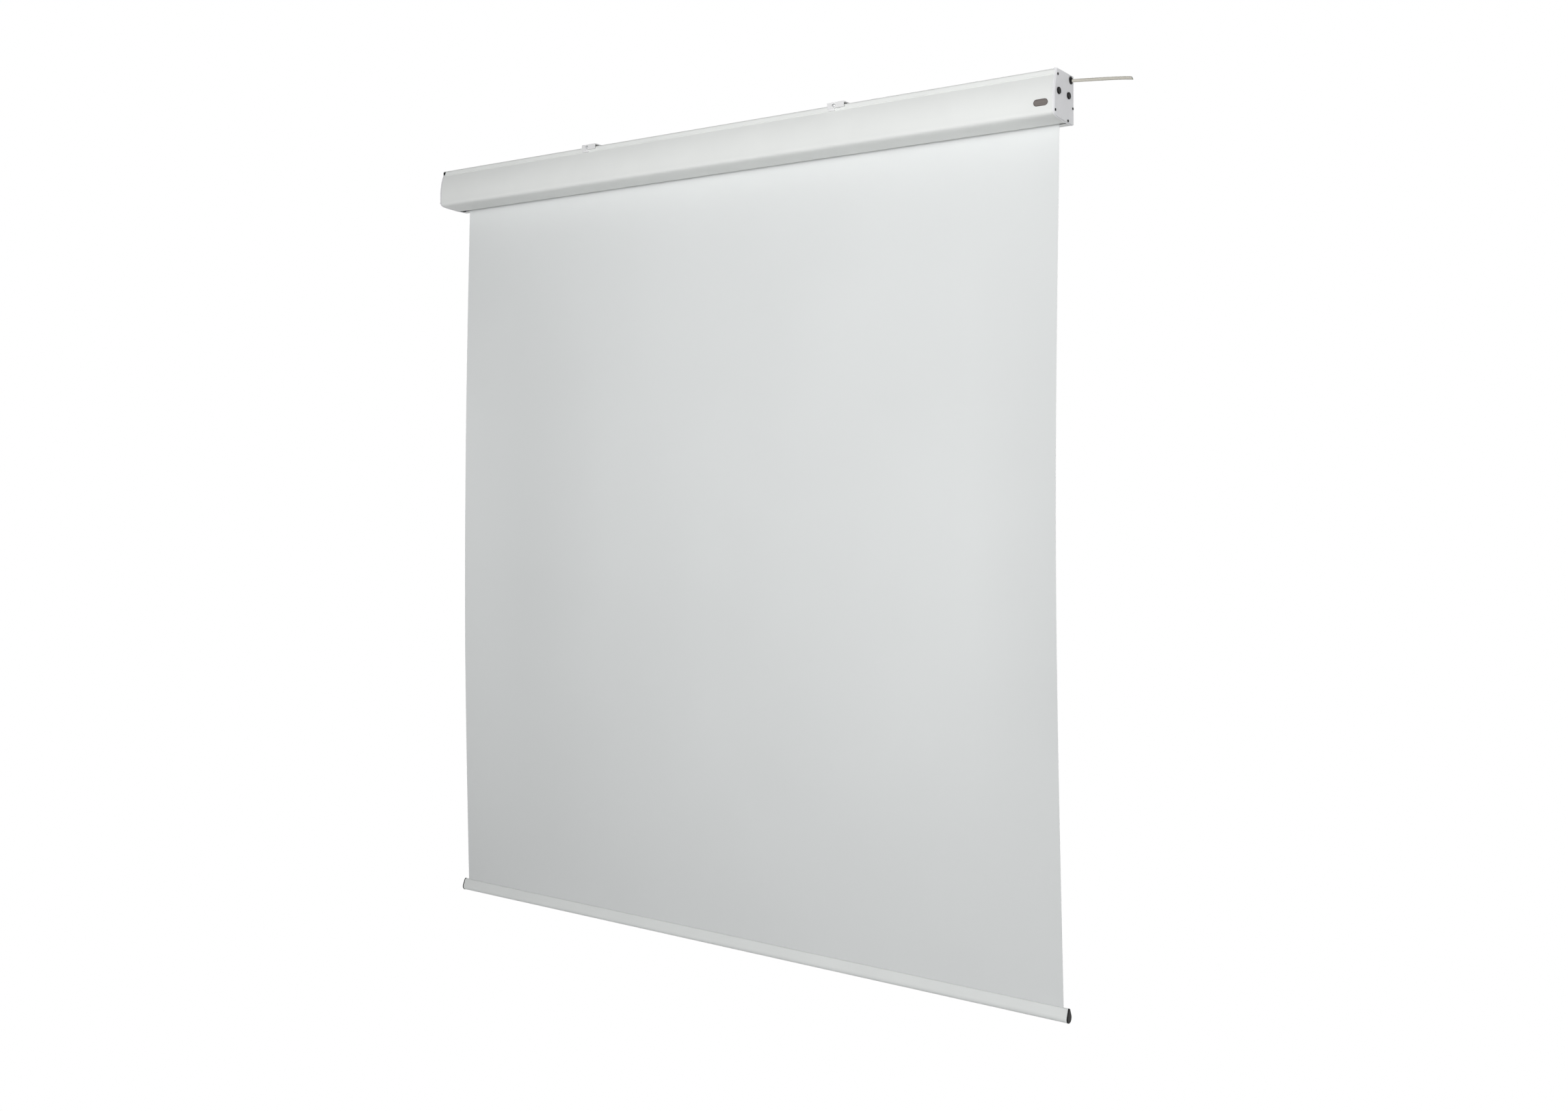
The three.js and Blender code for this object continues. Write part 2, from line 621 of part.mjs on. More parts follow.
function makeMotorEnd() {
  const halfHole = head.stub / 2 + head.stubFit;
  const limitPlaces = limitOffsets.map((offset) => [offset, 0]);
  const headScrewHeights = [-headScrew.offset, headScrew.offset];
  const countersunk = (z, margin) => solid(latheAlongX([
    [headFace - headScrew.depth - margin, 0],
    [headFace - headScrew.depth - margin, headScrew.shank + margin],
    [bracketInside, headScrew.shank + margin],
    [shellEnd, headScrew.head + margin],
    [shellEnd + margin, headScrew.head + margin],
    [shellEnd + margin, 0],
  ], 16).translate(0, 0, z));
  makeBracket(1, 'motor', [
    rectangle([-halfHole, halfHole], [-halfHole, halfHole]),
    ...limitPlaces.map((centre) => circle(centre, bracket.limitHole)),
  ], headScrewHeights.map((z) => countersunk(z, gap)));

  const stubHalf = head.stub / 2;
  const headBody = joined(
    prism('x', pill(headHalfLength, head.radius), headBack, headFace),
    disc('x', [0, 0], casingBore, headBack - head.plugLength, headFace - head.width / 2),
    block([headFace - head.width / 2, shellEnd], [-stubHalf, stubHalf], [-stubHalf, stubHalf]),
  );
  const limitHoles = limitPlaces.map((centre) => disc('x', centre, limitScrew.radius + gap,
    headFace - limitScrew.length - 2 * gap, headFace + overrun));
  const screwHoles = headScrewHeights.map((z) => countersunk(z, gap));
  piece('motor_head', cutFrom(headBody, limitHoles, screwHoles), 'greyPlastic', rollerGroup);
  headScrewHeights.forEach((z, i) => {
    piece(`motor_head_screw_${i + 1}`, countersunk(z, 0), 'zincSteel', rollerGroup);
  });

  // Each limit screw is turned with a hex key through the plug's hole.
  limitPlaces.forEach((centre, i) => {
    const front = headFace - gap;
    const body = disc('x', centre, limitScrew.radius, front - limitScrew.length, front);
    const socket = prism('x', circle(centre, limitScrew.socket, 6), front - limitScrew.socketDepth,
      front + overrun);
    piece(i === 0 ? 'limit_screw_up' : 'limit_screw_down', cutFrom(body, socket), 'zincSteel', rollerGroup);
  });

  // The cartridge inside the casing, from the head back to the gearbox's end.
  const unitEnd = headBack - head.plugLength - gap;
  const unitStart = unitEnd - limitUnitLength;
  piece('limit_switch_unit', disc('x', [0, 0], casingBore, unitStart, unitEnd), 'greyPlastic', rollerGroup);
  const capacitorEnd = unitStart - gap;
  const capacitorStart = capacitorEnd - capacitor.length;
  piece('motor_capacitor', turned([
    [capacitorStart, 0],
    [capacitorStart, casingBore],
    [capacitorStart + capacitor.ring, casingBore],
    [capacitorStart + capacitor.ring, capacitor.radius],
    [capacitorEnd - capacitor.ring, capacitor.radius],
    [capacitorEnd - capacitor.ring, casingBore],
    [capacitorEnd, casingBore],
    [capacitorEnd, 0],
  ]), 'greyPlastic', rollerGroup);
  const brakeEnd = capacitorStart - gap;
  const brakeStart = brakeEnd - brakeLength;
  piece('motor_brake', disc('x', [0, 0], casingBore, brakeStart, brakeEnd), 'motorPaint', rollerGroup);
  const gearEnd = brakeStart - gap;
  const gearStart = gearEnd - gearmotorLength;
  const gearmotor = disc('x', [0, 0], casingBore, gearStart, gearEnd);
  const shaftHole = disc('x', [0, 0], shaft.radius + gap, gearStart - overrun, gearStart + shaft.inside + gap);
  piece('gearmotor', cutFrom(gearmotor, shaftHole), 'plainSteel', rollerGroup);
  piece('motor_casing', ring('x', [0, 0], casingRadius, casingRadius - casingWall,
    gearStart - gap, headBack - gap), 'motorPaint', rollerGroup);

  const crownBore = casingRadius + gap;
  const crownRim = tubeRadius + crown.rimOver;
  const rimStart = tubeEnd + gap;
  piece('crown_ring', turned(closedProfile([
    [rimStart - crown.width, crownBore],
    [rimStart - crown.width, insideTube],
    [rimStart, insideTube],
    [rimStart, crownRim],
    [rimStart + crown.rimWidth, crownRim],
    [rimStart + crown.rimWidth, crownBore],
  ])), 'greyPlastic', rollerGroup);
  return gearStart;
}

function makeDrive(gearStart) {
  const shaftEnd = gearStart - shaft.outside;
  const grooveEnd = shaftEnd + shaft.clipWidth * 2;
  const grooveStart = grooveEnd + shaft.clipWidth + 2 * gap;
  piece('output_shaft', turned([
    [shaftEnd, 0],
    [shaftEnd, shaft.radius],
    [grooveEnd, shaft.radius],
    [grooveEnd, shaft.groove],
    [grooveStart, shaft.groove],
    [grooveStart, shaft.radius],
    [gearStart + shaft.inside, shaft.radius],
    [gearStart + shaft.inside, 0],
  ]), 'plainSteel', rollerGroup);
  piece('drive_wheel_clip', ring('x', [0, 0], clipRadius, shaft.groove + gap,
    grooveEnd + gap, grooveEnd + gap + shaft.clipWidth), 'zincSteel', rollerGroup);

  const wheelStart = grooveStart + gap / 2;
  const wheelBody = turned(closedProfile([
    [wheelStart, shaft.radius + gap],
    [wheelStart, wheel.hub],
    [wheelStart + wheel.web, wheel.hub],
    [wheelStart + wheel.web, insideTube - wheel.shell],
    [wheelStart, insideTube - wheel.shell],
    [wheelStart, insideTube],
    [wheelStart + wheel.width, insideTube],
    [wheelStart + wheel.width, insideTube - wheel.shell],
    [wheelStart + 2 * wheel.web, insideTube - wheel.shell],
    [wheelStart + 2 * wheel.web, wheel.hub],
    [wheelStart + wheel.width, wheel.hub],
    [wheelStart + wheel.width, shaft.radius + gap],
  ]));
  const screwAt = [wheelStart + wheel.web * 1.5, 0];
  const screwBottom = tubeRadius - wheelScrew.depth;
  const hole = disc('z', screwAt, wheelScrew.radius + gap, screwBottom - gap, tubeRadius + overrun);
  piece('drive_wheel', cutFrom(wheelBody, hole), 'greyPlastic', rollerGroup);
  piece('drive_wheel_screw', disc('z', screwAt, wheelScrew.radius, screwBottom, tubeRadius - gap / 2),
    'zincSteel', rollerGroup);
  const tube = ring('x', [0, 0], tubeRadius, tubeBore, -tubeEnd, tubeEnd);
  piece('roller_tube', cutFrom(tube, hole), 'plainSteel', rollerGroup);
}

function makeIdlerEnd() {
  makeBracket(-1, 'idler', [circle([0, 0], pin.radius + holeGap, sidesOf(pin.radius))]);
  const flangeBack = bracketInside - gap;
  piece('idler_pin', turned(mirroredX([
    [shellEnd, 0],
    [shellEnd, pin.radius],
    [flangeBack, pin.radius],
    [flangeBack, pin.flange],
    [flangeBack - pin.flangeWidth, pin.flange],
    [flangeBack - pin.flangeWidth, pin.radius],
    [shellEnd - pin.length, pin.radius],
    [shellEnd - pin.length, 0],
  ])), 'plainSteel', rollerGroup);

  const rim = tubeEnd + gap;
  const bushBore = (pin.radius + runningGap) / Math.cos(Math.PI / turnedSides);
  const bushRadius = bushBore + bushWall;
  const hubBore = bushRadius + gap;
  piece('idler_plug', turned(mirroredX(closedProfile([
    [rim + idlerPlug.rimWidth, hubBore],
    [rim + idlerPlug.rimWidth, tubeRadius],
    [rim, tubeRadius],
    [rim, insideTube],
    [rim - idlerPlug.length, insideTube],
    [rim - idlerPlug.length, insideTube - idlerPlug.shell],
    [rim - idlerPlug.web, insideTube - idlerPlug.shell],
    [rim - idlerPlug.web, idlerPlug.hub],
    [rim - idlerPlug.hubLength, idlerPlug.hub],
    [rim - idlerPlug.hubLength, hubBore],
  ]))), 'greyPlastic', rollerGroup);
  piece('idler_bush', turned(mirroredX(closedProfile([
    [rim + idlerPlug.rimWidth, bushBore],
    [rim + idlerPlug.rimWidth, bushRadius],
    [rim - idlerPlug.hubLength, bushRadius],
    [rim - idlerPlug.hubLength, bushBore],
  ]))), 'blackPlastic', rollerGroup);
}

// The sheet hangs flat from the roller's back, and its long edges curl forward between the slot
// and the bar. At share t of the drop and at distance d from an edge, the curl is
// reach * sin(pi t) * (1 - d / curlWidth)^2, and the edge draws in by what the curl takes up.
function fabricPoint(column, row, back) {
  const s = (2 * column) / fabricColumns - 1;
  const flat = (fabricWidth / 2) * (1.5 * s - 0.5 * s ** 3);
  const top = rollerAbove;
  const bottom = -drop - hem.mouth + gap;
  const z = top + (bottom - top) * (row / fabricRows);
  const t = Math.min(Math.max(-z / drop, 0), 1);
  const reach = flat > 0 ? curlRight : curlLeft;
  const near = Math.max(0, 1 - (fabricWidth / 2 - Math.abs(flat)) / curlWidth);
  const rise = Math.sin(Math.PI * t);
  const forward = reach * rise * near ** 2;
  const drawnIn = ((reach * rise) ** 2 * near ** 3) / (1.5 * curlWidth);
  const y = fabricY - forward + (back ? 1 : -1) * (fabricThickness / 2);
  return [flat - Math.sign(flat) * drawnIn, y, z];
}

function makeFabric() {
  const across = fabricColumns + 1;
  const points = [];
  for (const back of [false, true]) {
    for (let row = 0; row <= fabricRows; row += 1) {
      for (let column = 0; column <= fabricColumns; column += 1) {
        points.push(...fabricPoint(column, row, back));
      }
    }
  }
  const layer = across * (fabricRows + 1);
  const at = (column, row, back) => (back ? layer : 0) + row * across + column;
  const faces = [];
  const quad = (a, b, c, d) => faces.push(a, b, c, a, c, d);
  for (let row = 0; row < fabricRows; row += 1) {
    for (let column = 0; column < fabricColumns; column += 1) {
      quad(at(column, row, false), at(column, row + 1, false), at(column + 1, row + 1, false),
        at(column + 1, row, false));
      quad(at(column, row, true), at(column + 1, row, true), at(column + 1, row + 1, true),
        at(column, row + 1, true));
    }
    quad(at(0, row, false), at(0, row, true), at(0, row + 1, true), at(0, row + 1, false));
    quad(at(fabricColumns, row, false), at(fabricColumns, row + 1, false),
      at(fabricColumns, row + 1, true), at(fabricColumns, row, true));
  }
  for (let column = 0; column < fabricColumns; column += 1) {
    quad(at(column, 0, false), at(column + 1, 0, false), at(column + 1, 0, true), at(column, 0, true));
    quad(at(column, fabricRows, false), at(column, fabricRows, true), at(column + 1, fabricRows, true),
      at(column + 1, fabricRows, false));
  }
  const geometry = new THREE.BufferGeometry();
  geometry.setAttribute('position', new THREE.Float32BufferAttribute(points, 3));
  geometry.setIndex(faces);
  piece('projection_fabric', solid(geometry), 'projectionCloth', caseGroup);
  piece('wound_fabric', ring('x', [0, 0], woundRadius, tubeRadius + gap, -fabricWidth / 2,
    fabricWidth / 2), 'projectionCloth', rollerGroup);
}

// The bar's section: a small circle at the top and a large one below, joined by their tangents.
const barTopCentre = -barTopRadius;
const barBottomCentre = barBottomRadius - barHeight;
const barSpan = barTopCentre - barBottomCentre;

function teardrop(inset) {
  const lean = Math.asin((barBottomRadius - barTopRadius) / barSpan);
  const arc = (centre, radius, from, to) => Array.from({ length: barArcSteps + 1 }, (_, i) => {
    const angle = from + ((to - from) * i) / barArcSteps;
    return [radius * Math.cos(angle), centre + radius * Math.sin(angle)];
  });
  return [
    ...arc(barTopCentre, barTopRadius - inset, lean, Math.PI - lean),
    ...arc(barBottomCentre, barBottomRadius - inset, Math.PI - lean, 2 * Math.PI + lean),
  ];
}

function makeBar() {
  const shell = prism('x', teardrop(0), -barEnd, barEnd, [teardrop(barWall)]);
  const mouth = block([-barEnd - overrun, barEnd + overrun], [-barSlot / 2, barSlot / 2],
    [barTopCentre, overrun]);
  piece('bar_tube', cutFrom(shell, mouth), 'barAluminium', barGroup);
  for (const [side, label] of [[1, 'right'], [-1, 'left']]) {
    const face = side * (barEnd + gap);
    piece(`bar_cap_${label}`, joined(
      prism('x', teardrop(0), face, face + side * cap.thickness),
      prism('x', teardrop(barWall + gap), face - side * (cap.tongue + gap), face + side * cap.thickness / 2),
    ), 'blackPlastic', barGroup);
  }

  // The rod in the hem wedges where the bar's inside is as narrow as the hem.
  const hemRadius = hem.rod + gap + hem.cloth;
  const widest = barBottomRadius - barWall;
  const narrowest = barTopRadius - barWall;
  const share = (widest - hemRadius - gap) / (widest - narrowest);
  const hemCentre = barBottomCentre + share * barSpan;
  const hemEnd = fabricWidth / 2;
  piece('hem_rod', disc('x', [0, hemCentre], hem.rod, -hemEnd, hemEnd), 'plainSteel', barGroup);
  const sleeve = joined(
    disc('x', [0, hemCentre], hemRadius, -hemEnd, hemEnd),
    block([-hemEnd, hemEnd], [-hem.neck, hem.neck], [hemCentre, -hem.mouth]),
  );
  piece('fabric_hem', cutFrom(sleeve, disc('x', [0, hemCentre], hem.rod + gap, -hemEnd - overrun,
    hemEnd + overrun)), 'projectionCloth', barGroup);
}

// Each hanger is one bent sheet: a top plate, a rear flange and a front flange that stands off the
// strip. Lips at the rear and on the front tab reach into the grooves and carry the case.
function makeHanger(side, label) {
  const group = new THREE.Group();
  group.position.set(side * hanger.fromMiddle, 0, 0);
  screen.add(group);
  const half = hanger.width / 2;
  const caseFront = -caseTopDepth / 2;
  const caseBack = caseTopDepth / 2;
  const front = caseFront - hanger.standOff - hanger.sheet;
  const back = caseBack + hook.behindGap + hanger.sheet;
  const lipTop = caseTop - railHeight - gap;
  const lipLow = lipTop - hook.lip;
  const lipReach = grooveDepth - gap;
  const joggle = -clampScrew.below - clampNut.size / 2 - gap;
  const width = [-half, half];
  const tab = [-half, -half + hook.tabWidth];
  const sheet = joined(
    block(width, [front, back], [-hanger.sheet, 0]),
    block([-half + hook.tabWidth, half], [front, front + hanger.sheet], [-hanger.flange, 0]),
    block(tab, [front, front + hanger.sheet], [joggle - hanger.sheet, 0]),
    block(tab, [front, caseFront - gap], [joggle - hanger.sheet, joggle]),
    block(tab, [caseFront - gap - hanger.sheet, caseFront - gap], [lipLow, joggle]),
    block(tab, [caseFront - gap - hanger.sheet, caseFront + lipReach], [lipLow, lipTop]),
    block(width, [back - hanger.sheet, back], [lipLow, 0]),
    block(width, [caseBack - lipReach, back], [lipLow, lipTop]),
  );
  const screwAt = [-clampScrew.aside, -clampScrew.below];
  const ceilingHoles = [-1, 1].map((s) => disc('z', [s * hangerHole.spacing / 2, 0], hangerHole.radius,
    -hanger.sheet - overrun, overrun));
  const wallHeight = (lipTop - hanger.sheet) / 2;
  const wallHoles = [-1, 1].map((s) => disc('y', [s * hangerHole.spacing / 2, wallHeight],
    wallHoleRadius, back - hanger.sheet - overrun, back + overrun));
  const screwHole = disc('y', screwAt, clampScrew.shank + holeGap, front - overrun, caseFront);
  piece(`hanger_${label}_hook`, cutFrom(sheet, ceilingHoles, wallHoles, screwHole), 'paintedSteel', group);

  const headFaceY = front - gap;
  piece(`hanger_${label}_screw`, joined(
    disc('y', screwAt, clampScrew.head, headFaceY - clampScrew.headHeight, headFaceY),
    disc('y', screwAt, clampScrew.shank, headFaceY - clampScrew.headHeight / 2, caseFront - gap),
  ), 'zincSteel', group);
  const nutBack = front + hanger.sheet + gap;
  const nutSpan = clampNut.size / 2;
  piece(`hanger_${label}_nut`, prism('y', rectangle(
    [screwAt[0] - nutSpan, screwAt[0] + nutSpan],
    [screwAt[1] - nutSpan, screwAt[1] + nutSpan],
  ), nutBack, nutBack + clampNut.thickness, [circle(screwAt, clampScrew.shank + gap)]), 'zincSteel', group);
}

makeCaseShells();
makeEnd(1, 'right');
makeEnd(-1, 'left');
makePlug('limit_plug_front', limitOffsets[0]);
makePlug('limit_plug_back', limitOffsets[1]);
makeStopAndBadge();
makeGlandAndLead();
makeDrive(makeMotorEnd());
makeIdlerEnd();
makeFabric();
makeBar();
makeHanger(-1, 'left');
makeHanger(1, 'right');

export default screen;
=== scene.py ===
import math

import bmesh
import bpy
import numpy as np
from mathutils import Matrix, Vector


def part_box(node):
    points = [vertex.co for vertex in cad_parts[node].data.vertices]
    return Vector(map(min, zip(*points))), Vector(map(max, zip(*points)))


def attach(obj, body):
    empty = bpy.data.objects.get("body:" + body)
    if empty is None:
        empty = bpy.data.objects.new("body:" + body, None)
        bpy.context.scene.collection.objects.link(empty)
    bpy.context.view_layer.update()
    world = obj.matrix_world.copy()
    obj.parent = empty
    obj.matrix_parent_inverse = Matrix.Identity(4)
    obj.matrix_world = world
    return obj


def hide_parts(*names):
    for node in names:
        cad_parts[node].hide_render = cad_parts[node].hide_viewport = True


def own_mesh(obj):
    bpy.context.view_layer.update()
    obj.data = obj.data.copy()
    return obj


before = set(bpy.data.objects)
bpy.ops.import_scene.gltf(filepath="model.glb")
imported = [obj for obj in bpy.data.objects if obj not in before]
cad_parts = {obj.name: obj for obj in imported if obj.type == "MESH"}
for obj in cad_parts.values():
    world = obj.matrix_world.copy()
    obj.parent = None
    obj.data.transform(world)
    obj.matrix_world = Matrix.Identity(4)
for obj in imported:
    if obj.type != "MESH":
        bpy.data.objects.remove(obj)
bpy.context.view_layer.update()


def middleOf(node, *axes):
    # The middle of a frame piece's box along each of the axes.
    low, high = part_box(node)
    return tuple((low[axis] + high[axis]) / 2 for axis in axes)


# Places read from the frame, in metres: x along the case, -y to the front, z up.
plateLow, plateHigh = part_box("end_plate_right")
plateOuter, caseBack, caseTop = plateHigh
plateInner, _, caseBottom = plateLow
stopLow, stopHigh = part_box("rail_end_stop")
glandLow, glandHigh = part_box("cable_gland")
glandY, glandZ = middleOf("cable_gland", 1, 2)
rollLow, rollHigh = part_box("wound_fabric")
rollerY, rollerZ = middleOf("wound_fabric", 1, 2)
rollRadius = (rollHigh[2] - rollLow[2]) / 2
barLow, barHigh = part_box("bar_tube")
barY, = middleOf("bar_tube", 1)
barTop = barHigh[2]
seat = 0.0003  # what touching pieces keep apart

# The case's section, counted from its back (front negative) and from its underside.
caseShape = {
    "topDepth": 0.079, "bulge": 0.0105, "bulgeHeight": 0.030, "cornerTop": 0.015, "cornerDrop": 0.0133,
    "cornerBefore": 0.0455, "cornerRise": 0.00345, "height": caseTop - caseBottom, "rail": 0.0106,
    "railRound": 0.0045, "groove": 0.0016, "grooveDepth": 0.0018, "wall": 0.002, "tongueWidth": 0.002,
    "tongueDrop": 0.009, "backBlock": 0.0042, "edge": 0.0005, "slotFront": -0.0315, "slotBack": -0.0134,
    "rearRound": 0.0007, "lipReach": 0.0014, "arcSteps": 46, "cornerSteps": 40, "roundSteps": 14,
    "sharpAngle": 28,
}
caseDepth = caseShape["topDepth"] + caseShape["bulge"]


def greyOf(value, tint=(1.0, 1.0, 1.0)):
    # A screen grey of 0 to 255 as linear light, times a tint for each channel.
    level = value / 255
    linear = level / 12.92 if level < 0.04 else ((level + 0.055) / 1.055) ** 2.4
    return (linear * tint[0], linear * tint[1], linear * tint[2], 1.0)


def newObject(name, data):
    obj = bpy.data.objects.new(name, data)
    bpy.context.collection.objects.link(obj)
    return obj


def meshPiece(name, points, faces):
    # A mesh from corner points and faces. Its signed volume is the sum over the triangles of
    # a . (b x c) / 6, and the faces are turned round where it comes out negative.
    points = np.asarray(points, float).reshape(-1, 3)
    fans = np.array([(f[0], f[i], f[i + 1]) for f in faces for i in range(1, len(f) - 1)])
    a, b, c = (points[fans[:, k]] for k in range(3))
    volume = np.einsum("ij,ij->i", a - points[0], np.cross(b - points[0], c - points[0])).sum() / 6
    ordered = faces if volume > 0 else [tuple(reversed(f)) for f in faces]
    mesh = bpy.data.meshes.new(name)
    mesh.from_pydata(points.tolist(), [], [tuple(int(i) for i in f) for f in ordered])
    mesh.validate()
    return newObject(name, mesh)


def gridFaces(rows, columns, wrap):
    # Quads between the neighbouring points of a rows x columns grid, closed round each row if wrap.
    row, column = np.meshgrid(np.arange(rows - 1), np.arange(columns if wrap else columns - 1), indexing="ij")
    beside = (column + 1) % columns
    quads = np.stack([row * columns + column, row * columns + beside,
                      (row + 1) * columns + beside, (row + 1) * columns + column], axis=-1)
    return [tuple(q) for q in quads.reshape(-1, 4)]


def loftPiece(name, rings, hoop=False):
    # Rings of equal count, one after another, joined by quads. A face closes each end, or else, in a
    # hoop, the last ring is joined back to the first, which leaves a hole through.
    rings = np.asarray(rings, float)
    count, around = rings.shape[:2]
    last = (count - 1) * around
    faces = gridFaces(count, around, wrap=True)
    if hoop:
        faces += [(last + i, last + (i + 1) % around, (i + 1) % around, i) for i in range(around)]
    else:
        faces += [tuple(range(around)), tuple(range(last, last + around))]
    return meshPiece(name, rings, faces)


def sectionRing(outline, x):
    # An outline of (from the back, above the underside) as a ring of points at x.
    outline = np.asarray(outline, float)
    return np.column_stack([np.full(len(outline), x), caseBack + outline[:, 0], caseBottom + outline[:, 1]])


def sectionPiece(name, outline, xs):
    return loftPiece(name, [sectionRing(outline, x) for x in xs])


def turnedRings(profile, centre, sides=64, relief=None):
    # A profile of (x, radius) turned about the x direction through centre (y, z):
    # y = cy + r cos(a), z = cz + r sin(a). relief(x, y, z) may move the points along x.
    profile = np.asarray(profile, float)
    angle = np.linspace(0, 2 * math.pi, sides, endpoint=False)
    x = np.repeat(profile[:, :1], sides, axis=1)
    y = profile[:, 1:] * np.cos(angle)
    z = profile[:, 1:] * np.sin(angle)
    if relief is not None:
        x = x + relief(x, y, z)
    return np.stack([x, centre[0] + y, centre[1] + z], axis=-1)


def unit(vectors):
    # Each vector over its own length.
    return vectors / np.linalg.norm(vectors, axis=1, keepdims=True)


def lengthsAlong(path):
    # How far along the path each of its points lies.
    return np.concatenate([[0], np.cumsum(np.linalg.norm(np.diff(path, axis=0), axis=1))])


def arcPoints(centre, radius, start, end, steps):
    # Points at centre + radius (cos a, sin a), with a from start to end in degrees.
    angle = np.radians(np.linspace(start, end, steps))
    return np.column_stack([centre[0] + radius * np.cos(angle), centre[1] + radius * np.sin(angle)])


def roundedOutline(corners, radii, steps=5):
    # Each corner is a quadratic curve between the points at its radius along both of its sides:
    # (1-t)^2 before + 2 t (1-t) corner + t^2 after.
    corners = np.asarray(corners, float)
    before = np.roll(corners, 1, axis=0) - corners
    after = np.roll(corners, -1, axis=0) - corners
    radii = np.asarray(radii, float)[:, None]
    first, last = corners + unit(before) * radii, corners + unit(after) * radii
    t = np.linspace(0, 1, steps)[None, :, None]
    curve = (1 - t) ** 2 * first[:, None] + 2 * t * (1 - t) * corners[:, None] + t ** 2 * last[:, None]
    kept = [curve[i] if radii[i, 0] > 0 else corners[i:i + 1] for i in range(len(corners))]
    return np.concatenate(kept)


def stripOutline(path, thickness):
    # A bent strip: the path moved half its thickness to one side, and back along the other side.
    path = np.asarray(path, float)
    along = unit(np.gradient(path, axis=0))
    side = np.column_stack([-along[:, 1], along[:, 0]]) * thickness / 2
    return np.concatenate([path + side, (path - side)[::-1]])


def vertexPlaces(obj):
    places = np.empty(len(obj.data.vertices) * 3)
    obj.data.vertices.foreach_get("co", places)
    return places.reshape(-1, 3)


def roundEdges(obj, width, segments=2, sharperThan=40):
    # Edges that turn by more than an angle in degrees are rounded over a width.
    bevel = obj.modifiers.new("softEdge", "BEVEL")
    bevel.width = width
    bevel.segments = segments
    bevel.limit_method = "ANGLE"
    bevel.angle_limit = math.radians(sharperThan)
    bevel.harden_normals = False
    return obj


def mergedCopy(node, name, weld=1e-6, flatWithin=1):
    # A copy of a frame piece as one merged skin, with its flat triangles joined into faces.
    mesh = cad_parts[node].data.copy()
    mesh.name = name
    work = bmesh.new()
    work.from_mesh(mesh)
    bmesh.ops.remove_doubles(work, verts=work.verts, dist=weld)
    bmesh.ops.dissolve_limit(work, angle_limit=math.radians(flatWithin), verts=work.verts, edges=work.edges)
    work.to_mesh(mesh)
    work.free()
    return newObject(name, mesh)


def dressed(obj, look, node, sharpAngle=35, body="case"):
    # The piece gets its look, rides on its body and stands for the frame's piece.
    obj.data.materials.clear()
    obj.data.materials.append(look)
    obj.data.shade_smooth()
    obj.data.set_sharp_from_angle(angle=math.radians(sharpAngle))
    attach(obj, body)
    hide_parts(node)


# The camera stands where the photograph was taken from: turned about z, then pitched up about its
# own x, then rolled about its view line, with the frame slid up.
view = {"focal": 2135.8, "imageWidth": 2293, "imageHeight": 1624, "middleX": 1147.0, "middleY": 684.6,
        "sensor": 36, "farthest": 100, "turn": 34.137, "pitch": 0.225, "roll": -0.158,
        "besideEnd": 1.1037, "beforeBack": 2.6149, "belowCase": 0.6633}


def turnAbout(axis, degrees):
    return Matrix.Rotation(math.radians(degrees), 3, axis)


def makeCamera():
    width = view["imageWidth"]
    camera = newObject("camera", bpy.data.cameras.new("camera"))
    camera.data.sensor_width = view["sensor"]
    camera.data.lens = view["sensor"] * view["focal"] / width
    camera.data.shift_x = (width / 2 - view["middleX"]) / width
    camera.data.shift_y = (view["middleY"] - view["imageHeight"] / 2) / width
    camera.data.clip_end = view["farthest"]
    camera.location = (plateOuter + view["besideEnd"], caseBack - view["beforeBack"],
                       caseBottom - view["belowCase"])
    aimed = turnAbout("Z", view["turn"]) @ turnAbout("X", 90 + view["pitch"]) @ turnAbout("Z", view["roll"])
    camera.rotation_euler = aimed.to_euler()
    bpy.context.scene.camera = camera


makeCamera()
print("camera placed")

# Materials
def shaderOf(made):
    # The shader that a new material comes with.
    return made.node_tree.nodes["Principled BSDF"]


def material(name, colour, roughness, metallic=0.0):
    made = bpy.data.materials.new(name)
    made.use_nodes = True
    shader = shaderOf(made)
    shader.inputs["Base Color"].default_value = colour
    shader.inputs["Roughness"].default_value = roughness
    shader.inputs["Metallic"].default_value = metallic
    return made


def addNode(made, kind, **values):
    # Each value goes to the node's input of that name, or else to its setting.
    node = made.node_tree.nodes.new("ShaderNode" + kind)
    for key, value in values.items():
        if key in node.inputs:
            node.inputs[key].default_value = value
        else:
            setattr(node, key, value)
    return node


def joinNodes(made, start, startName, end, endName):
    made.node_tree.links.new(start.outputs[startName], end.inputs[endName])


def objectPattern(made, texture, stretch=(1, 1, 1), **values):
    # A texture on Object coordinates in metres, with each axis multiplied by stretch.
    where = addNode(made, "TexCoord")
    mapping = addNode(made, "Mapping", Scale=stretch)
    pattern = addNode(made, "Tex" + texture, **values)
    joinNodes(made, where, "Object", mapping, "Vector")
    joinNodes(made, mapping, "Vector", pattern, "Vector")
    return pattern


def mottle(made, dark, light, scale, stretch=(1, 1, 1), detail=4.0):
    # The base colour runs between two colours with a soft noise.
    noise = objectPattern(made, "Noise", stretch, Scale=scale, Detail=detail)
    ramp = addNode(made, "ValToRGB")
    for stop, position, colour in zip(ramp.color_ramp.elements, (0.3, 0.7), (dark, light)):
        stop.position = position
        stop.color = colour
    joinNodes(made, noise, "Fac", ramp, "Fac")
    joinNodes(made, ramp, "Color", shaderOf(made), "Base Color")


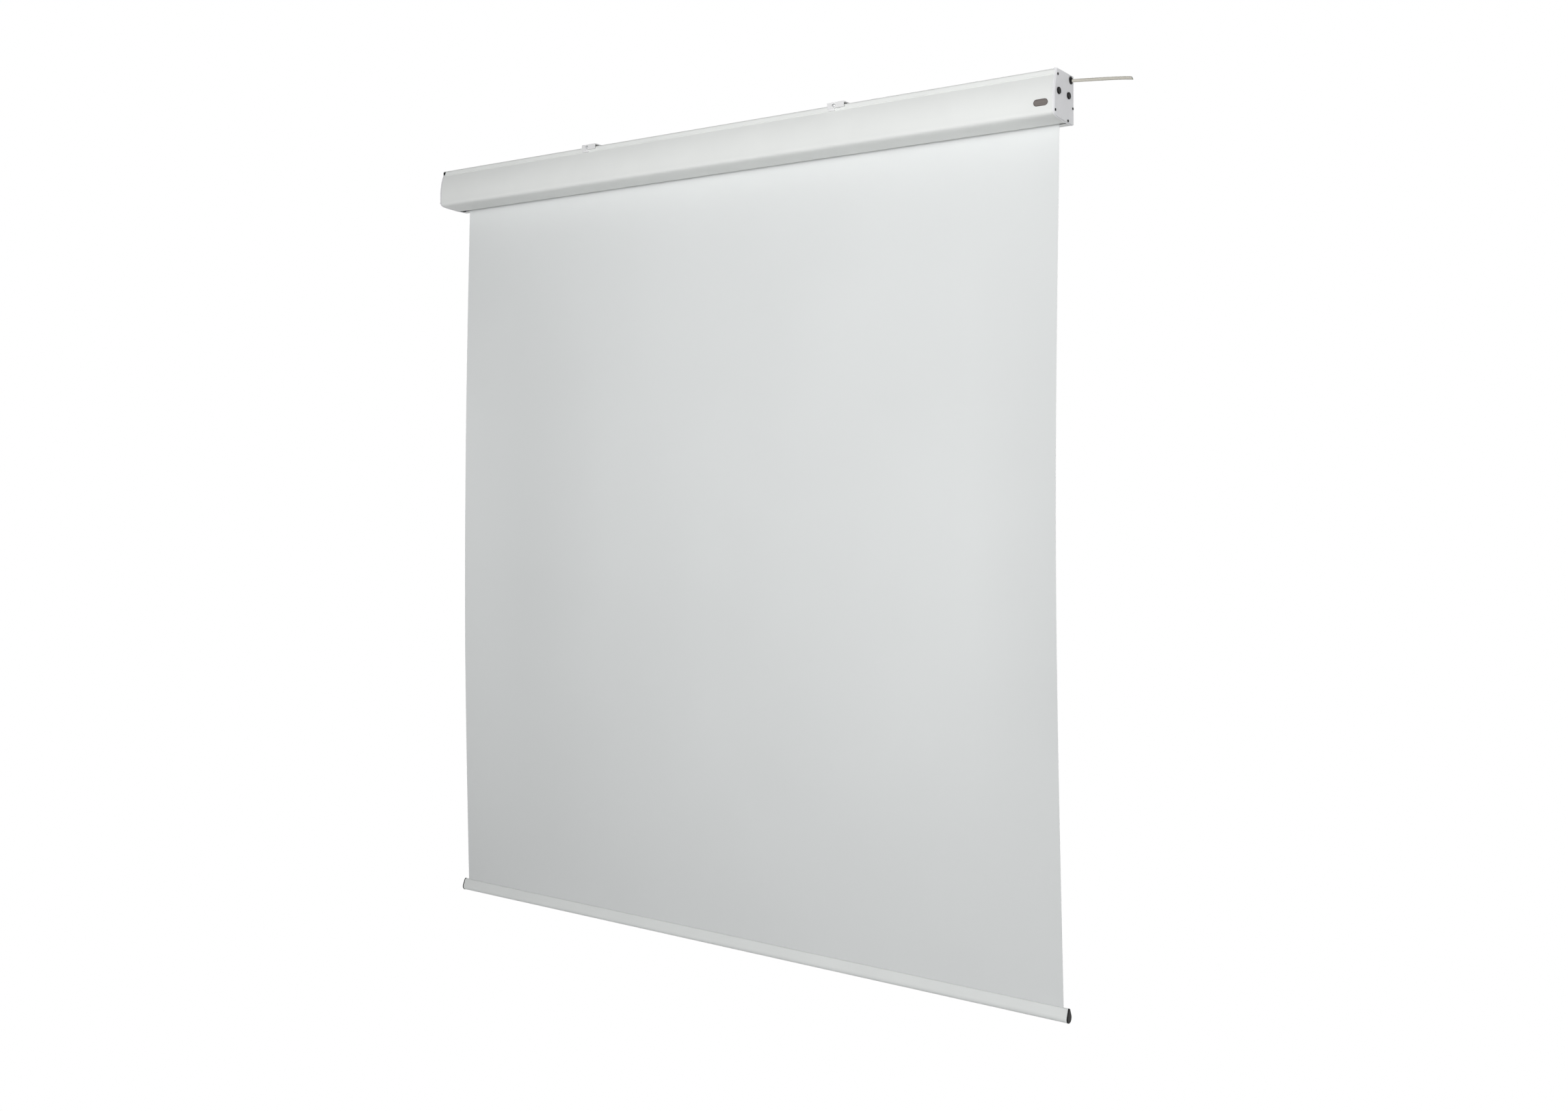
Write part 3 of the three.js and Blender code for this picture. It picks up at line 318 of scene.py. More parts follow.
def unevenGloss(made, low, high, scale, stretch=(1, 1, 1)):
    # The roughness runs from low to high with a soft noise.
    noise = objectPattern(made, "Noise", stretch, Scale=scale, Detail=3.0)
    spread = addNode(made, "MapRange", **{"To Min": low, "To Max": high})
    joinNodes(made, noise, "Fac", spread, "Value")
    joinNodes(made, spread, "Result", shaderOf(made), "Roughness")


def relief(made, *layers):
    # Bump nodes in a row. Each layer is (pattern, height in metres).
    last = None
    for pattern, height in layers:
        bump = addNode(made, "Bump", Strength=1.0, Distance=height)
        joinNodes(made, pattern, 0, bump, "Height")
        if last is not None:
            joinNodes(made, last, "Normal", bump, "Normal")
        last = bump
    joinNodes(made, last, "Normal", shaderOf(made), "Normal")


# Kinds of finish: the two steps that the grey runs to and the scale of its noise, the same for the
# roughness, and layers of relief as (texture, height in metres, scale, detail). The stretch of a
# drawn-out noise comes after these, and then its detail where it isn't the usual one.
kinds = {
    # orange peel of about a millimetre, and faint drawing lines along x from the extrusion
    "powderCoat": ((-3, 1, 9), (-0.04, 0.05, 60),
                   (("Noise", 0.00002, 1100, 2), ("Noise", 0.000012, 1, 2, (0.6, 900, 900)))),
    # paint over a cast or blackened skin, slightly uneven all over
    "castPaint": ((-4, 2, 25), (-0.05, 0.06, 120), (("Noise", 0.00005, 700, 4),)),
    # spark-eroded grain: small cells over a finer noise
    "moulded": ((-4, 5, 180), (-0.06, 0.08, 300),
                (("Voronoi", 0.00003, 2200, 0), ("Noise", 0.00001, 5200, 2))),
    # zinc plate: bright with cloudy patches and fine rubbing marks
    "plated": ((-18, 6, 220), (-0.08, 0.14, 420), (("Noise", 0.000008, 1, 2, (60, 2400, 2400)),)),
    # a drawn or extruded metal with long fine lines along x
    "drawn": ((-8, 4, 1, (1.5, 300, 300), 3), (-0.05, 0.08, 1, (2, 500, 500)),
              (("Noise", 0.00001, 1, 2, (0.8, 1500, 1500)),)),
}


def finish(name, kind, grey, roughness, tint=(1, 1, 1), specular=0.5, metallic=0.0):
    # The grey and the roughness each run between two sums: their own value plus the kind's steps.
    (dark, light, *greyNoise), (down, up, *glossNoise), layers = kinds[kind]
    made = material(name, greyOf(grey, tint), roughness, metallic)
    shaderOf(made).inputs["Specular IOR Level"].default_value = specular
    mottle(made, greyOf(grey + dark, tint), greyOf(grey + light, tint), *greyNoise)
    unevenGloss(made, roughness + down, roughness + up, *glossNoise)
    relief(made, *((objectPattern(made, texture, *stretch, Scale=scale, Detail=detail), height)
                   for texture, height, scale, detail, *stretch in layers))
    return made


cool = (0.98, 0.99, 1.0)
caseWhite = finish("caseWhitePowderCoat", "powderCoat", 237, 0.45, (0.985, 1.0, 0.98), 0.25)
hangerWhite = finish("hangerWhitePowderCoat", "powderCoat", 232, 0.42, specular=0.25)
barGrey = finish("barSatinGrey", "powderCoat", 240, 0.46, (0.98, 1.0, 0.985), 0.25)
platePaint = finish("endPlatePaint", "castPaint", 228, 0.55, (0.985, 0.985, 1.0), 0.25)
blackSteel = finish("blackenedSteel", "castPaint", 14, 0.45, specular=0.08)
motorPaint = finish("motorGreyPaint", "castPaint", 78, 0.42, (0.95, 0.98, 1.0))
blackPlastic = finish("blackGrainedPlastic", "moulded", 18, 0.42, specular=0.1)
greyPlastic = finish("glassFilledGreyPlastic", "moulded", 120, 0.55, cool)
leadGrey = finish("leadSheathGrey", "moulded", 192, 0.55, (1.02, 0.98, 0.87), 0.25)
zincSteel = finish("zincPlatedSteel", "plated", 205, 0.3, cool, metallic=0.9)
tubeSteel = finish("galvanisedTube", "drawn", 178, 0.38, cool, metallic=0.9)
cartridgeMetal = finish("cartridgeMetal", "drawn", 165, 0.4, metallic=0.8)
badgeBrown = finish("badgeBrownAnodised", "drawn", 104, 0.45, (1.1, 0.97, 0.9), metallic=0.1)
badgeRim = finish("badgeDarkRim", "drawn", 84, 0.4, (1.12, 0.96, 0.87), metallic=0.15)

coreColours = {"brown": (0.13, 0.045, 0.02, 1), "blue": (0.03, 0.1, 0.42, 1),
               "green": (0.16, 0.33, 0.03, 1), "black": (0.02, 0.02, 0.022, 1)}
coreLook = {"roughness": 0.4, "dark": 0.85, "clouds": 700, "skin": 4000, "height": 0.00001}


def coreInsulation(name, colour):
    # Smooth coloured plastic with a faint skin.
    made = material(name, colour, coreLook["roughness"])
    mottle(made, tuple(coreLook["dark"] * c for c in colour[:3]) + (1,), colour, coreLook["clouds"])
    relief(made, (objectPattern(made, "Noise", Scale=coreLook["skin"]), coreLook["height"]))
    return made


clothLook = {"tint": (0.98, 1.0, 0.995), "dark": 227, "grey": 228, "light": 230, "clouds": 2.2,
             "roughness": 0.88, "specular": 0.25, "sheen": 0.08, "threads": 90, "unevenness": 0.4,
             "threadHeight": 0.000012, "coat": 1800, "coatHeight": 0.00001}


def projectionCloth():
    # Coated glass cloth: a weave under a matt white coat, with a slow cloudiness. The UV map is in
    # metres along and across the cloth, and a wave's ridges lie 2 pi / (20 threads) apart, 3.5 mm.
    c = clothLook
    dark, grey, light = (greyOf(c[key], c["tint"]) for key in ("dark", "grey", "light"))
    made = material("mattWhiteProjectionCloth", grey, c["roughness"])
    mottle(made, dark, light, c["clouds"], detail=2.0)
    shaderOf(made).inputs["Specular IOR Level"].default_value = c["specular"]
    shaderOf(made).inputs["Sheen Weight"].default_value = c["sheen"]
    uv = addNode(made, "UVMap", uv_map="clothUv")
    threads = []
    for direction in ("X", "Y"):
        wave = addNode(made, "TexWave", Scale=c["threads"], Distortion=c["unevenness"], Detail=1.0,
                       wave_type="BANDS", bands_direction=direction)
        joinNodes(made, uv, "UV", wave, "Vector")
        threads.append((wave, c["threadHeight"]))
    coat = objectPattern(made, "Noise", Scale=c["coat"], Detail=2.0)
    relief(made, *threads, (coat, c["coatHeight"]))
    return made


clothWhite = projectionCloth()
print("materials made")

# The power lead: its route repeats the source's points (x, z), from the gland's nose outwards.
lead = {
    "route": [(0, -0.0011), (0.0086, -0.00185), (0.0172, -0.00265), (0.0258, -0.00345), (0.0344, -0.00425),
              (0.043, -0.00507), (0.0516, -0.00591), (0.0602, -0.00677), (0.0687, -0.00764),
              (0.0773, -0.00855), (0.0859, -0.0095), (0.0945, -0.01051), (0.1031, -0.01162),
              (0.1117, -0.0129), (0.1203, -0.0144)],
    "radius": 0.0031, "bore": 0.0022, "boreDepth": 0.007, "slant": 0.66, "slantReach": 0.0124,
    "outerEase": 0.0003, "boreEase": 0.0002, "middle": 0.0004, "steps": 90, "sides": 36,
}
core = {"radius": 0.00075, "circle": 0.00115, "out": 0.0004, "ease": 0.0002, "straight": 0.002,
        "middle": 0.0001, "sides": 20}


def smoothRoute(points, steps, between=40):
    # One smooth curve through the points: cubic pieces whose slope at a point is half the way
    # from the point before it to the point after it, then spread evenly along its length.
    points = np.asarray(points, float)
    slope = np.gradient(points, axis=0)
    t = np.linspace(0, 1, between, endpoint=False)[:, None]
    pieces = [
        (2 * t ** 3 - 3 * t ** 2 + 1) * points[i] + (t ** 3 - 2 * t ** 2 + t) * slope[i]
        + (3 * t ** 2 - 2 * t ** 3) * points[i + 1] + (t ** 3 - t ** 2) * slope[i + 1]
        for i in range(len(points) - 1)
    ]
    dense = np.concatenate(pieces + [points[-1:]])
    length = lengthsAlong(dense)
    even = np.linspace(0, length[-1], steps)
    return np.column_stack([np.interp(even, length, dense[:, k]) for k in range(3)])


leadStart = np.array([glandHigh[0] + seat, glandY, glandZ])
leadPath = leadStart + smoothRoute(np.insert(lead["route"], 1, 0, axis=1), lead["steps"])
leadLength = np.linalg.norm(np.diff(leadPath, axis=0), axis=1).sum()


def alongLead(name, profile, offset, sides):
    # A tube about the lead's path. Each ring lies at a distance s along the path, and its points at
    # path(s) + (oy + r cos a) across + (oz + r sin a) up. Near the cut, s moves with slant times height.
    profile = np.asarray(profile, float)
    along = unit(np.gradient(leadPath, axis=0))
    stations = np.linspace(0, leadLength, len(leadPath))
    angle = np.linspace(0, 2 * math.pi, sides, endpoint=False)
    across = offset[0] + profile[:, 1:2] * np.cos(angle)
    up = offset[1] + profile[:, 1:2] * np.sin(angle)
    cut = np.clip((profile[:, :1] - leadLength + lead["slantReach"]) / lead["slantReach"], 0, 1)
    s = profile[:, :1] - lead["slant"] * cut * (lead["radius"] + up)
    centre = np.stack([np.interp(s, stations, leadPath[:, k]) for k in range(3)], axis=-1)
    tangent = np.stack([np.interp(s, stations, along[:, k]) for k in range(3)], axis=-1)
    upward = np.stack([-tangent[..., 2], np.zeros_like(s), tangent[..., 0]], axis=-1)
    crosswise = np.array([0.0, 1.0, 0.0])
    return loftPiece(name, centre + across[..., None] * crosswise + up[..., None] * upward)


def makeCore(colour, value, turn):
    # A straight core in the lead's bore, its end sticking out of the cut.
    place = (core["circle"] * math.cos(turn), core["circle"] * math.sin(turn))
    r, ease, middle = core["radius"], core["ease"], core["middle"]
    start, tip = leadLength - lead["boreDepth"] + seat, leadLength + core["out"]
    profile = [(start, middle), (start, r), (leadLength - core["straight"], r), (tip - ease, r),
               (tip, r - ease), (tip, middle)]
    piece = alongLead("leadCore" + colour.capitalize(), profile, place, core["sides"])
    look = coreInsulation("coreInsulation" + colour.capitalize(), value)
    dressed(piece, look, "power_lead_cores")
    return piece


def makeLead():
    r, bore, end = lead["radius"], lead["bore"], leadLength
    depth, middle = end - lead["boreDepth"], lead["middle"]
    rings = [(0, middle), (0, r)] + [(s, r) for s in np.linspace(0, end, lead["steps"])[1:]]
    rings += [(end, r - lead["outerEase"]), (end, bore + lead["boreEase"]), (end - lead["boreEase"], bore)]
    rings += [(depth, bore), (depth, middle)]
    sheath = alongLead("leadSheath", rings, (0.0, 0.0), lead["sides"])
    cores = [makeCore(colour, value, math.radians(45 + 90 * index))
             for index, (colour, value) in enumerate(coreColours.items())]
    dressed(sheath, leadGrey, "power_lead")


makeLead()
print("power lead made")


# The case
def frontPath(inset):
    # From the strip's lower edge: an arc that is upright at the foremost line, of radius
    # (rise^2 + bulge^2) / (2 bulge), then the cubic curve (1-t)^3 a + 3 (1-t)^2 t b + 3 (1-t) t^2 c
    # + t^3 d down to the slot, moved along its normal by the inset.
    c = caseShape
    rise = c["height"] - c["rail"] - c["bulgeHeight"]
    radius = (rise ** 2 + c["bulge"] ** 2) / (2 * c["bulge"])
    angle = np.linspace(math.asin(rise / radius), 0, c["arcSteps"])
    arc = np.column_stack([radius - caseDepth - (radius - inset) * np.cos(angle),
                           c["bulgeHeight"] + (radius - inset) * np.sin(angle)])
    ends = np.array([(-caseDepth, c["cornerTop"]), (-caseDepth, c["cornerTop"] - c["cornerDrop"]),
                     (c["slotFront"] - c["cornerBefore"], c["cornerRise"]), (c["slotFront"], 0)])
    t = np.linspace(0, 1, c["cornerSteps"])
    back = 1 - t
    curve = np.column_stack([back ** 3, 3 * back ** 2 * t, 3 * back * t ** 2, t ** 3]) @ ends
    along = unit(np.column_stack([back ** 2, 2 * back * t, t ** 2]) @ np.diff(ends, axis=0))
    corner = curve + inset * np.column_stack([-along[:, 1], along[:, 0]])
    return np.concatenate([arc, corner])


def stripFront(z):
    # The strip's front face at a height: upright, then a quarter circle back to the case's top.
    radius = caseShape["railRound"]
    over = np.clip(z - (caseShape["height"] - radius), 0, radius)
    return -caseShape["topDepth"] + radius - np.sqrt(radius ** 2 - over ** 2)


# The black stop at the strip's left end. Its lower end slopes from foot and rise up to its top, and
# the rail and the left plate are cut out round it.
stopShape = {"foot": 0.0053, "rise": 0.0012, "edge": 0.0005, "clear": 0.0001, "columns": 8, "rows": 16}
stopBack = stopHigh[1] - caseBack + seat
stopRoof = stopHigh[2] - caseBottom + seat
shellEnd = plateInner - seat


def caseSection(name, outline, xs, node, sharpAngle=35):
    dressed(sectionPiece(name, outline, xs), caseWhite, node, sharpAngle)


def makeRail():
    # One outline for the full length, one beside the stop, and a slanted end between the two.
    c, node = caseShape, "case_back_rail"
    height, depth, sunk, wall, edge = c["height"], c["topDepth"], c["grooveDepth"], c["wall"], c["edge"]
    low, tongue = height - c["rail"], sunk - depth
    floor = low - c["groove"]
    tongueBack, tongueEnd = tongue + c["tongueWidth"], floor - c["tongueDrop"]
    behind = [(0, 0), (0, floor), (-sunk, floor), (-sunk, low), (0, low), (0, height)]
    under = [(tongue, tongueEnd), (tongueBack, tongueEnd), (tongueBack, height - wall),
             (-c["backBlock"], height - wall), (-c["backBlock"], floor - wall), (-wall, floor - wall),
             (-wall, wall), (c["slotBack"], wall), (c["slotBack"], 0)]
    behindRadii = [edge, edge / 2, 0, 0, edge / 2, c["rearRound"]]
    underRadii = [0] * (len(under) - 1) + [edge / 2]
    topRound = c["railRound"]
    roundTop = arcPoints((topRound - depth, height - topRound), topRound, 90, 180, c["roundSteps"])

    corners = [*behind, *roundTop, (-depth, low), (tongue, low), *under]
    radii = behindRadii + [0] * len(roundTop) + [edge, 0] + underRadii
    fullFrom = stopHigh[0] + seat
    caseSection("topRail", roundedOutline(corners, radii), (fullFrom, shellEnd), node)

    # Beside the stop, the strip's face is cut back to the stop's rear under the case's top wall.
    shortArc = [p for p in roundTop if p[1] > stopRoof + stopShape["clear"]]
    cut = [(stripFront(stopRoof), stopRoof), (stopBack, stopRoof), (stopBack, low), (tongue, low)]
    corners = [*behind, *shortArc, *cut, *under]
    radii = behindRadii + [0] * (len(shortArc) + len(cut)) + underRadii
    caseSection("topRailEnd", roundedOutline(corners, radii), (-shellEnd, fullFrom), node)

    # The strip's slanted end next to the stop: at each x it stands up to the slanted line.
    xs = np.linspace(stopLow[0] + stopShape["foot"] + seat, fullFrom, stopShape["columns"])
    foot = low + stopShape["rise"]
    rings = []
    for x in xs[1:]:
        share = (x - xs[0]) / (xs[-1] - xs[0])
        z = np.linspace(low, foot + (stopRoof - foot) * share, stopShape["rows"])
        face = np.column_stack([stripFront(z), z])
        rings.append(sectionRing(np.concatenate([face, [(stopBack, z[-1]), (stopBack, low)]]), x))
    dressed(loftPiece("topRailSlant", rings), caseWhite, node)


coverTop = {"clear": 0.0004, "bevel": 0.0001}


def makeCover():
    # The upper edge lies level with the groove's floor and has a small bevel in front. Both paths stop
    # clear below it.
    c = caseShape
    floor = c["height"] - c["rail"] - c["groove"]
    wall, edge = c["wall"], c["edge"]
    clear, bevel = coverTop["clear"], coverTop["bevel"]
    outer, inner = frontPath(0), frontPath(wall)
    outer = outer[(outer[:, 1] < floor - clear) & (outer[:, 0] < c["slotFront"] - edge)]
    inner = inner[(inner[:, 1] < floor - clear) & (inner[:, 0] < c["slotFront"] - edge)]
    lipEnd = c["slotFront"] + c["lipReach"]
    lip = np.array([(lipEnd - edge, 0), (lipEnd, edge), (lipEnd, wall)])
    top = np.array([(inner[0, 0], floor), (outer[0, 0] + clear, floor), (outer[0, 0] + bevel, floor - bevel)])
    outline = np.concatenate([outer, lip, inner[::-1], top])
    caseSection("frontCover", outline, (-shellEnd, shellEnd), "case_front_cover", c["sharpAngle"])


# The channels that the end screws bite into, open over 50 degrees round their mouth angle
port = {"inner": 0.0017, "halfMouth": 25, "steps": 44}
ports = {
    "portTop": {"place": (-0.0746, caseShape["height"] - 0.011), "outer": 0.0034, "mouth": -20},
    "portBack": {"place": (-0.005, 0.0307), "outer": 0.0034, "mouth": 0},
    "portFront": {"place": (-0.0866, 0.0126), "outer": 0.0027, "mouth": 45},
    "portLip": {"place": (-0.0282, 0.0029), "outer": 0.0027, "mouth": 80},
}


def makePort(name, node, start):
    # A strip bent round from one side of the mouth to the other, between the inner and outer radius.
    spec, inner = ports[name], port["inner"]
    first, last = spec["mouth"] + port["halfMouth"], spec["mouth"] + 360 - port["halfMouth"]
    arc = arcPoints(spec["place"], (spec["outer"] + inner) / 2, first, last, port["steps"])
    caseSection(name, stripOutline(arc, spec["outer"] - inner), (start, shellEnd), node)


slotEnd = {"length": 0.0067, "height": 0.0072, "clear": 0.0019, "edge": 0.0002, "steps": 18}


def makeSlotEnd():
    # A black block closes the slot's left end. Its section lies between the lip and the back rail,
    # and an arc of radius clear goes round under the lowest end screw.
    c = caseShape
    front, back = c["slotFront"] + c["lipReach"] + seat, c["slotBack"] - seat
    centre, clear, top = ports["portLip"]["place"], slotEnd["clear"], slotEnd["height"]
    reach = math.degrees(math.acos((centre[0] - front) / clear))
    arc = arcPoints(centre, clear, 0, reach - 180, slotEnd["steps"])
    outline = [(front, seat), (back, seat), (back, top), (centre[0] + clear, top), *arc]
    block = sectionPiece("slotEndBlock", outline, (-plateInner + seat, -plateInner + slotEnd["length"]))
    dressed(roundEdges(block, slotEnd["edge"]), blackPlastic, "end_plate_left")


makeRail()
makeCover()
makePort("portTop", "case_back_rail", -shellEnd)
makePort("portBack", "case_back_rail", -shellEnd)
makePort("portFront", "case_front_cover", -shellEnd)
makePort("portLip", "case_front_cover", -plateInner + (slotEnd["length"] + 2 * seat))
makeSlotEnd()
print("case made")

endPlate = {"edge": 0.0008, "idlerEdge": 0.0004, "segments": 3, "corner": 0.0012, "clear": 0.0002,
            "roundShares": (0, 0.02, 0.06, 0.13, 0.24, 0.4), "riseShare": 0.77}


def finishPlate(plate, edge, node):
    roundEdges(plate, edge, endPlate["segments"])
    dressed(plate, platePaint, node)


def makeEndPlates():
    # Both plates have the case's outline. The left one is notched for the stop below the height of the
    # case's top wall, and the notch's floor rises towards the middle with the stop's underside.
    c = caseShape
    path = frontPath(0)
    corners = np.concatenate([[(0, 0), (0, c["height"]), (-c["topDepth"], c["height"])], path])
    radii = np.zeros(len(corners))
    radii[:3] = endPlate["corner"]
    plate = sectionPiece("endPlateMotor", roundedOutline(corners, radii), (plateInner, plateOuter))
    finishPlate(plate, endPlate["edge"], "end_plate_right")

    heights = c["height"] - c["railRound"] * np.array(endPlate["roundShares"])
    roundTop = [(stripFront(z), z) for z in heights]
    floor = c["height"] - c["rail"]
    low = path[path[:, 1] < floor - endPlate["clear"]]
    rings = []
    for x, rise in ((-plateOuter, 0.0), (-plateInner, endPlate["riseShare"] * stopShape["rise"])):
        notch = [(stripFront(stopRoof), stopRoof), (stopBack, stopRoof), (stopBack, floor + rise),
                 (-c["topDepth"], floor + rise)]
        rings.append(sectionRing(np.concatenate([[(0, 0), (0, c["height"])], roundTop, notch, low]), x))
    finishPlate(loftPiece("endPlateIdler", rings), endPlate["idlerEdge"], "end_plate_left")


makeEndPlates()
print("end plates made")

# Screws: a cross recess in a domed head, whose rim goes through points at shares of its height and radius
screw = {"head": 0.0026, "height": 0.0012, "crown": 0.0004, "shank": 0.0014, "crossWidth": 0.00042,
         "crossLength": 0.0016, "crossDepth": 0.0007}
recess = {"ease": 0.0001, "endEase": 0.0003, "withinShare": 0.96, "aboveShare": 0.4}
screwRound = {"middle": 0.00004, "domeShare": 0.86, "domeSteps": 26, "sides": 72, "rimRadiusShare": 0.93,
              "sideShares": ((0.62, 0.985), (0.45, 1.0), (0.12, 1.0), (0.0, 0.97)), "tipShare": 0.3}


def crossRecess(sizes, face, side):
    # The points of the head sink by depth inside a cross, whose edge is eased.
    def sink(x, y, z):
        flatY, flatZ = np.abs(y), np.abs(z)
        narrow, long = np.minimum(flatY, flatZ), np.maximum(flatY, flatZ)
        inside = np.clip((sizes["crossWidth"] - narrow) / recess["ease"], 0, 1) \
            * np.clip((sizes["crossLength"] - long) / recess["endEase"], 0, 1)
        level = face + side * recess["aboveShare"] * sizes["height"]
        onHead = (np.hypot(y, z) < recess["withinShare"] * sizes["head"]) & (side * x > side * level)
        return -side * sizes["crossDepth"] * inside * onHead
    return sink


def panScrew(name, sizes, face, side, centre, tip):
    # A dome of height crown over a rim, its shank below, turned about x.
    head, height, crown, shank = sizes["head"], sizes["height"], sizes["crown"], sizes["shank"]
    around = screwRound
    dome = np.linspace(around["middle"], around["domeShare"] * head, around["domeSteps"])
    profile = [(face + side * (height - crown * (r / head) ** 2), r) for r in dome]
    profile.append((face + side * (height - crown * around["domeShare"]), around["rimRadiusShare"] * head))
    profile += [(face + side * up * height, out * head) for up, out in around["sideShares"]]
    profile += [(face, shank), (tip + side * shank, shank), (tip, around["tipShare"] * shank),
                (tip, around["middle"])]
    return loftPiece(name, turnedRings(profile, centre, around["sides"], crossRecess(sizes, face, side)))


def makeEndScrews():
    for side, label in ((1, "right"), (-1, "left")):
        for index in range(1, 5):
            node = f"end_screw_{label}_{index}"
            low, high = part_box(node)
            face = high[0] - screw["height"] if side > 0 else low[0] + screw["height"]
            tip = low[0] if side > 0 else high[0]
            name = f"endScrew{label.capitalize()}{index}"
            piece = panScrew(name, screw, face, side, middleOf(node, 1, 2), tip)
            dressed(piece, blackSteel, node, 30)


makeEndScrews()

plugShape = {"rim": 0.0015, "dish": 0.0008, "dishSteps": 12, "edge": 0.0006, "stem": 0.0057,
             "stemEnd": 0.0052, "taper": 0.0006, "middle": 0.00005, "crest": 0.7, "ease": 0.2,
             "skirt": 0.5, "foot": 0.3}


def makePlug(node, name):
    # A head with a shallow bowl of depth dish (1 - (r / bowl)^2) inside its rim, on a stem. Its rim goes
    # through points at the shares crest, ease, skirt and foot of the rim's width and of its edge.
    p = plugShape
    low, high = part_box(node)
    head, top, face = (high[1] - low[1]) / 2, high[0], plateOuter + seat
    rim, edge = p["rim"], p["edge"]
    profile = [(top - p["dish"] * (1 - (r / (head - rim)) ** 2), r)
               for r in np.linspace(p["middle"], head - rim, p["dishSteps"])]
    ease = p["ease"] * edge
    profile += [(top, head - p["crest"] * rim), (top - ease, head - edge), (top - edge, head - ease),
                (face + p["skirt"] * edge, head), (face, head - p["foot"] * edge), (face, p["stem"]),
                (plateInner + p["taper"], p["stem"]), (plateInner, p["stemEnd"]), (plateInner, p["middle"])]
    plug = loftPiece(name, turnedRings(profile, middleOf(node, 1, 2)))
    dressed(plug, blackPlastic, node, 40)


glandShape = {"flange": 0.0075, "flangeWidth": 0.0016, "flangeEase": 0.0007, "noseRoot": 0.0054,
              "noseTip": 0.0044, "noseEase": 0.0006, "thread": 0.005, "threadDepth": 0.0002,
              "threadSteps": 40, "threadClear": 0.0004, "pitch": 0.001, "bore": 0.0028, "ease": 0.0002,
              "step": 0.0003}


def makeGland():
    # The nose tapers straight from root to tip, with a step where it leaves the flange, and the
    # buried body carries thread turns as a wave of its radius.
    g = glandShape
    ease, step = g["ease"], g["step"]
    face = plateOuter + seat
    flangeEnd, noseEnd, bodyEnd = face + g["flangeWidth"], glandHigh[0], glandLow[0]
    threadX = np.linspace(face - ease, bodyEnd + g["threadClear"], g["threadSteps"])
    threads = [(x, g["thread"] - g["threadDepth"] * (1 + math.cos(2 * math.pi * x / g["pitch"])))
               for x in threadX]
    profile = [(bodyEnd, g["bore"]), (bodyEnd, g["thread"] - g["noseEase"])] + threads[::-1]
    profile += [(face, g["flange"] - ease), (face + step, g["flange"]),
                (flangeEnd - g["flangeEase"], g["flange"]), (flangeEnd - ease, g["flange"] - step),
                (flangeEnd, g["noseRoot"] + ease), (flangeEnd + step, g["noseRoot"]),
                (noseEnd - g["noseEase"], g["noseTip"] + ease), (noseEnd - ease / 2, g["noseTip"] - ease),
                (noseEnd, g["noseTip"] - ease - step), (noseEnd, g["bore"])]
    gland = loftPiece("leadGland", turnedRings(profile, (glandY, glandZ)), hoop=True)
    dressed(gland, blackPlastic, "cable_gland", 40)


makePlug("limit_plug_front", "limitPlugFront")
makePlug("limit_plug_back", "limitPlugBack")
makeGland()
print("screws, plugs and gland made")

badgeShape = {"rim": 0.0013, "sunk": 0.00035, "backEase": 0.0002, "outerEase": 0.0005, "fine": 0.0001,
              "crest": 0.8, "inner": 0.95, "steps": 22}


def pillRing(halfLength, radius, y, centre):
    # Two half circles centred halfLength to each side of the middle, in the x-z plane.
    turn = np.linspace(-math.pi / 2, math.pi / 2, badgeShape["steps"])
    right = np.column_stack([halfLength + radius * np.cos(turn), radius * np.sin(turn)])
    both = np.concatenate([right, -right])
    return np.column_stack([centre[0] + both[:, 0], np.full(len(both), y), centre[1] + both[:, 1]])


def makeBadge():
    # A raised rim round a sunk flat field. Each ring of the rim is (its inset from the outline, its y).
    b = badgeShape
    low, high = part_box("badge_plate")
    centre = middleOf("badge_plate", 0, 2)
    radius, front, back = (high[2] - low[2]) / 2, low[1], high[1]
    straight = (high[0] - low[0]) / 2 - radius
    rim, ease, fine, sunk = b["rim"], b["backEase"], b["fine"], front + b["sunk"]
    places = ((rim, back), (ease, back), (0, back - ease), (0, front + 3 * fine), (ease, front + fine),
              (b["outerEase"], front), (b["crest"] * rim, front), (b["inner"] * rim, front + fine),
              (rim, sunk))
    rings = [pillRing(straight, radius - inset, y, centre) for inset, y in places]
    edge = loftPiece("badgeRim", rings, hoop=True)
    dressed(edge, badgeRim, "badge_plate", 40)
    field = loftPiece("badgeField", [pillRing(straight, radius - rim, y, centre) for y in (back, sunk)])
    dressed(field, badgeBrown, "badge_plate")


def makeStop():
    stop = roundEdges(mergedCopy("rail_end_stop", "railEndStop"), stopShape["edge"], 3)
    dressed(stop, blackPlastic, "rail_end_stop")


makeBadge()
makeStop()

hangerHookEdge = 0.0006
hangerScrew = {"head": 0.0037, "height": 0.0022, "crown": 0.0007, "shank": 0.0019, "crossWidth": 0.0007,
               "crossLength": 0.0023, "crossDepth": 0.0016}


